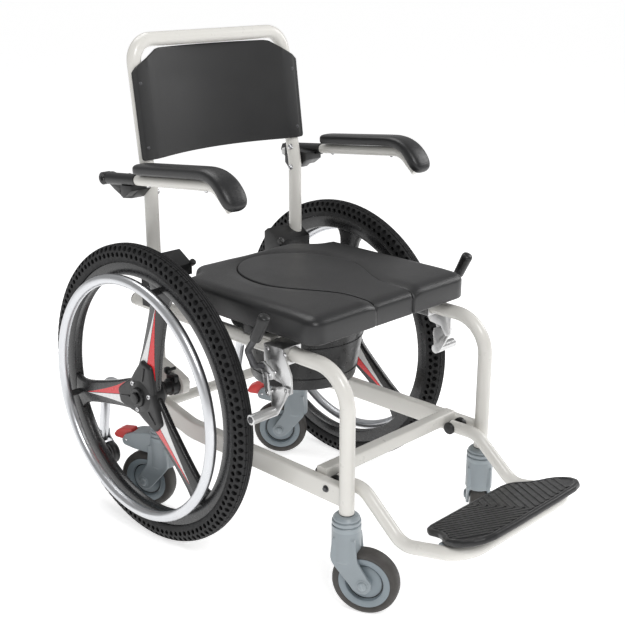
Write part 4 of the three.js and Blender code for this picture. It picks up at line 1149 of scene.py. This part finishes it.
def arm_pad_shape():
    """Sections along the pad: it widens and droops into a rounded knob past the tube's elbow."""
    stations = [  # y and z of the middle, half width, half thickness
        (24.5, 749.5, 8, 5), (24, 749.6, 15, 8), (22, 749.9, 19.5, 9.6), (16, 750.5, 22.3, 10.6),
        (0, 752.0, 23, 11),
        (-60, 757.8, 23, 11), (-120, 763.6, 23, 11), (-160, 767.2, 23.2, 11.2), (-182, 768.2, 23.6, 11.4),
        (-201, 765.4, 24.4, 11.8), (-217, 758.6, 25.4, 12.4), (-229, 749.6, 26.2, 12.8),
        (-239, 738.8, 26.4, 12.8), (-246, 729.0, 25.2, 12.2), (-250.5, 721.8, 22, 10.8),
        (-253.2, 717.0, 17, 8.4), (-254.8, 714.4, 11, 5.2), (-255.4, 713.4, 5, 2.4)]
    rows = [np.array(s) for s in stations]
    fine = []
    for i in range(len(rows) - 1):
        p0, p1, p2, p3 = (rows[max(0, min(len(rows) - 1, j))] for j in (i - 1, i, i + 1, i + 2))
        for t in (0, 0.25, 0.5, 0.75):
            bow = (2 * p0 - 5 * p1 + 4 * p2 - p3) * t * t
            fine.append(0.5 * (2 * p1 + (p2 - p0) * t + bow + (3 * p1 - p0 - 3 * p2 + p3) * t ** 3))
    fine.append(rows[-1])
    loops = []
    for i, (y, z, w, h) in enumerate(fine):
        before, after = fine[max(i - 1, 0)], fine[min(i + 1, len(fine) - 1)]
        along = unit(np.array([after[0] - before[0], after[1] - before[1]]))
        up = np.array([along[1], -along[0]])
        up = up if up[1] > 0 or along[1] < 0 and up[0] < 0 else -up
        loop = []
        for a in np.linspace(0, 2 * math.pi, 40, endpoint=False):
            c, s = math.cos(a), math.sin(a)
            power = 0.62
            x = w * math.copysign(abs(c) ** power, c)
            v = h * math.copysign(abs(s) ** (0.72 if s > 0 else 0.5), s)
            loop.append((ARM_X + x, y + up[0] * v, z + up[1] * v))
        loops.append(loop)
    return rings(loops)


def arm_bracket(suffix, k):
    carried(f"arm_bracket_{suffix}", BLACK, "backrest", 2.2, 3)
    flip = Matrix.Scale(k, 4, (1, 0, 0))
    boss = turned([(2, -1), (8.5, -1), (8.5, 3), (7.5, 4), (3.5, 4), (3.2, 2), (0, 2)], (239.7, 98, 694),
                  (1, 0, 0), 28)
    add(f"bracket_boss_{suffix}", moved(boss, flip), BLACK, "backrest")
    block_shape = block(212, 238, 113, 124, 707, 722)
    bevelled(add(f"bracket_pin_{suffix}", moved(block_shape, flip), PIN_WHITE, "backrest"),
             2.0)


# ---------------------------------------------------------------- footrest


def footrest_loop():
    half = [(165, -420, 229), (165, -482, 231), (165, -575, 155), (161, -705, 186)]
    path = bend(half + [(-x, y, z) for x, y, z in reversed(half)], 48, 12)
    add("foot_loop", sweep(path, lambda i: circle(12.5, 36)), PAINT, "footrest",
        "footrest_loop", 60)
    caps, pins = [], []
    for k in (-1, 1):
        caps.append(turned([(9, -3), (12.2, 0), (12.2, 2), (9, 4.5), (0, 5.5)], (k * 165, -420, 229),
                           (0, 1, 0), 32))
        caps.append(turned([(5, 0), (12.4, 0), (12.5, 3.4), (11, 5.6), (0, 6.6)], (k * 153.4, -424, 229),
                           (-k, 0, 0), 32))
        bush = [(4, 0), (12.6, 0), (13, 1), (13, 8), (12.6, 9), (4, 9)]
        pins.append(turned(bush, (k * 177.4, -428, 231), (k, 0, 0), 36))
    add("foot_loop_plugs", joined(*caps), BLACK, "footrest")
    add("foot_loop_bushes", joined(*pins), BLACK, "footrest")


def foot_place():
    """Footplate's own plan (x, distance from the heel, height) to the chair."""
    c, s = math.cos(FOOTPLATE_TILT), math.sin(FOOTPLATE_TILT)
    y, z = FOOTPLATE_HEEL
    return Matrix(((1, 0, 0, 0), (0, -c, s, y), (0, s, c, z), (0, 0, 0, 1)))


def foot_outline(inset=0.0):
    half = [(60, 0), (106, 0), (121, 5), (130, 16), (134, 32), (139, 48), (147, 61), (158, 72), (166, 86),
            (169, 104), (167, 122), (158, 140), (143, 153), (120, 160), (60, 162)]
    outline = [(-x, d) for x, d in reversed(half)] + half
    outline = fillet(outline, 16, 5)
    if not inset:
        return outline
    loop = np.asarray(anticlockwise(outline))
    tangent = np.roll(loop, -1, axis=0) - np.roll(loop, 1, axis=0)
    tangent /= np.linalg.norm(tangent, axis=1)[:, None]
    shrunk = loop + np.stack([-tangent[:, 1], tangent[:, 0]], axis=1) * inset
    return [tuple(p) for p in shrunk]


def footplate():
    def top(p, d):
        recess = 1.6 / (1 + np.exp(-(d - 9.5) / 0.35))
        return np.stack([p[:, 0], p[:, 1], 0.0 - recess - roundover(d, 4.5, 4.5)], axis=1)

    def bottom(p, d):
        return np.stack([p[:, 0], p[:, 1], -12.0 + roundover(d, 5, 4.5)], axis=1)

    m = foot_place()
    shape = moulded(foot_outline(), top, bottom, (0.4, 1, 1.8, 2.8, 4.5, 7, 8.6, 9.2, 9.8, 10.6, 13), 10, 3)
    add("foot_board", moved(shape, m), FOOT_BLACK, "footrest", "footplate", 45)
    ribs = [moved(s, m) for s in foot_ribs()]
    add("foot_ribs", joined(*ribs), FOOT_BLACK, "footrest", None, 30)
    saddles = [moved(cad_saddle(x), m) for x in (-75, 75)]
    bevelled(add("foot_saddles", joined(*saddles), FOOT_BLACK, "footrest"), 2)
    clips = [block(k * 148 - 9, k * 148 + 9, -668, -646, 174, 186) for k in (-1, 1)]
    bevelled(add("foot_clips", joined(*clips), GREY, "footrest"), 2)


def cad_saddle(x):
    """Clamp under the plate, from its underside down past the tube's middle."""
    return block(x - 14, x + 14, 116, 138, -22, -10)


def foot_ribs():
    """Raised diagonal ribs, mirrored about the middle so that they meet in chevrons."""
    border = foot_outline(11.5)
    direction = unit(np.array([-0.62, 0.79]))
    across = np.array([-direction[1], direction[0]])
    ribs = []
    for offset in np.arange(-180, 260, RIB_PITCH):
        origin = across * offset
        samples = np.arange(-260, 260, 0.8)
        line = origin + samples[:, None] * direction
        good = inside(line, border) & (line[:, 0] > 0.4)
        if good.sum() < 8:
            continue
        run = samples[good]
        breaks = np.where(np.diff(run) > 1.0)[0]
        for piece in np.split(run, breaks + 1):
            if len(piece) < 8:
                continue
            for mirror in (1, -1):
                ribs.append(rib(origin + piece[0] * direction, origin + piece[-1] * direction, across,
                                mirror))
    return ribs


def rib(start, end, across, mirror):
    w = RIB_WIDTH / 2
    section = [(-w, -2.2), (-w + 0.2, -0.9), (-w + 1.1, -0.05), (w - 1.1, -0.05), (w - 0.2, -0.9), (w, -2.2)]
    loops = []
    for point in (start, end):
        loops.append([((point[0] + across[0] * u) * mirror, point[1] + across[1] * u, z) for u, z in section])
    points, faces = rings(loops)
    return points, faces if mirror > 0 else [tuple(reversed(f)) for f in faces]


# ---------------------------------------------------------------- brakes


def rivet(x, y, z, k, radius=3.4):
    return turned([(radius, -0.6), (radius, 0.4), (radius * 0.8, 1.3), (radius * 0.35, 1.7), (0, 1.7)],
                  (k * x, y, z), (k, 0, 0), 20)


def brake(suffix, k):
    flip = Matrix.Scale(k, 4, (1, 0, 0))
    carried(f"brake_clamp_{suffix}", PLATE_STEEL, "frame", 0.9, 2)
    carried(f"brake_link_{suffix}", PLATE_STEEL, f"brake_link_{suffix}", 0.5, 2)
    carried(f"brake_shoe_{suffix}", PLATE_STEEL, f"brake_shoe_{suffix}", 0.7, 2)
    corners = [(238, -301, 436), (258, -298, 441), (274, -300, 474), (283, -331, 507), (282, -338, 520)]
    lever = bend(corners, 12, 6)
    lever_body = f"brake_lever_{suffix}"
    bar = moved(sweep(lever, lambda i: circle(6, 24)), flip)
    add(f"lever_tube_{suffix}", bar, DARK_STEEL, lever_body, f"brake_lever_{suffix}")
    crank = fillet([(-328, 418), (-328, 430), (-319, 437), (-302, 444), (-293, 442), (-293, 432),
                    (-303, 415), (-319, 414)], 3)
    plate = moved(plate_in_side_view(crank, 235, 240), flip)
    bevelled(add(f"lever_crank_{suffix}", plate, PLATE_STEEL, lever_body), 0.7, 2)
    grip(suffix, flip)
    fixed = [rivet(227, -345, 466, k, 4), rivet(227, -300, 466, k, 4), rivet(227, -352, 401, k),
             rivet(227, -300, 420, k, 2.6)]
    add(f"clamp_rivets_{suffix}", joined(*fixed), STEEL, "frame")
    turning = joined(rivet(240, -319, 424, k), rivet(240, -300, 438, k, 2.6))
    add(f"lever_rivets_{suffix}", turning, STEEL, lever_body)
    add(f"link_rivets_{suffix}", joined(rivet(245, -318, 391, k, 3.2)), STEEL, f"brake_link_{suffix}")
    hexagon = turned([(2, 287.6), (6.4, 287.7), (6.8, 288.4), (5.4, 289.2), (0, 289.2)], (0, -320, 352),
                     (k, 0, 0), 6)
    add(f"shoe_end_{suffix}", hexagon, DARK_STEEL, f"brake_shoe_{suffix}")


def grip(suffix, flip):
    start, end = np.array([283.0, -331, 507]), np.array([281.0, -355, 553])
    axis, length = unit(end - start), np.linalg.norm(end - start)
    profile = [(6.5, -4), (9.5, -2.5), (10.6, 1), (10.8, length * 0.4), (11.5, length * 0.8),
               (11.4, length - 6), (10.2, length - 2.6), (7.4, length - 0.7), (0, length)]
    add(f"lever_grip_{suffix}", moved(turned(profile, start, axis, 36), flip), BLACK,
        f"brake_lever_{suffix}")


# ---------------------------------------------------------------- building


def build():
    cross_members()
    forks = {"front": fork_mesh(False), "rear": fork_mesh(True)}
    for suffix, k in SIDES:
        side_frame(suffix, k)
        anti_tip(suffix, k)
        sockets(suffix, k)
        frame_fittings(suffix, k)
        drive_wheel(suffix, k)
        axle(suffix, k)
        for place in ("front", "rear"):
            castor(place, suffix, k, forks[place])
        arm(suffix, k)
        arm_bracket(suffix, k)
        brake(suffix, k)
    seat_pad()
    seat_plug()
    pail()
    back_tube()
    back_panel()
    footrest_loop()
    footplate()


# ---------------------------------------------------------------- studio


def studio():
    floor_mesh = bpy.data.meshes.new("studio_floor")
    reach = 80.0
    corners = [(-reach, -reach, 0), (reach, -reach, 0), (reach, reach, 0), (-reach, reach, 0)]
    floor_mesh.from_pydata(corners, [], [(0, 1, 2, 3)])
    n = Nodes("floor_white")
    n.colour(n.mix(n.noise(3, 2), (0.93, 0.93, 0.93), (0.95, 0.95, 0.95)))
    n.set(Roughness=0.9, Specular_IOR_Level=0.1, Emission_Color=(1, 1, 1, 1), Emission_Strength=0.62)
    floor_mesh.materials.append(n.material)
    floor = bpy.data.objects.new("studio_floor", floor_mesh)
    bpy.context.scene.collection.objects.link(floor)
    world = bpy.data.worlds.new("studio")
    world.use_nodes = True
    background = world.node_tree.nodes["Background"]
    background.inputs["Color"].default_value = (1.0, 1.0, 1.0, 1)
    background.inputs["Strength"].default_value = 0.40
    bpy.context.scene.world = world
    softbox("key", (-1.2, -2.4, 3.0), (0, 0, 0.45), 1.3, 52)
    softbox("side", (2.6, -0.9, 1.9), (0, 0, 0.5), 1.2, 24)
    softbox("top", (0.1, 1.2, 3.0), (0, 0.1, 0.6), 1.6, 24)
    bpy.context.scene.view_settings.view_transform = "Standard"


def softbox(name, place, target, size, power):
    light = bpy.data.lights.new(name, "AREA")
    light.shape = "SQUARE"
    light.size = size
    light.energy = power
    obj = bpy.data.objects.new(name, light)
    obj.location = place
    obj.rotation_euler = (Vector(target) - Vector(place)).to_track_quat("-Z", "Y").to_euler()
    bpy.context.scene.collection.objects.link(obj)


def camera():
    """A little above the top of the back, looking down on the chair's front right."""
    data = bpy.data.cameras.new("camera")
    data.sensor_width = 36
    data.lens = 62.874
    obj = bpy.data.objects.new("camera", data)
    obj.location = at(-1465.36, -1653.40, 1137.78)
    obj.rotation_euler = (math.radians(90 - 18.243), 0, math.radians(-44.976))
    bpy.context.scene.collection.objects.link(obj)
    bpy.context.scene.camera = obj


camera()
build()
studio()
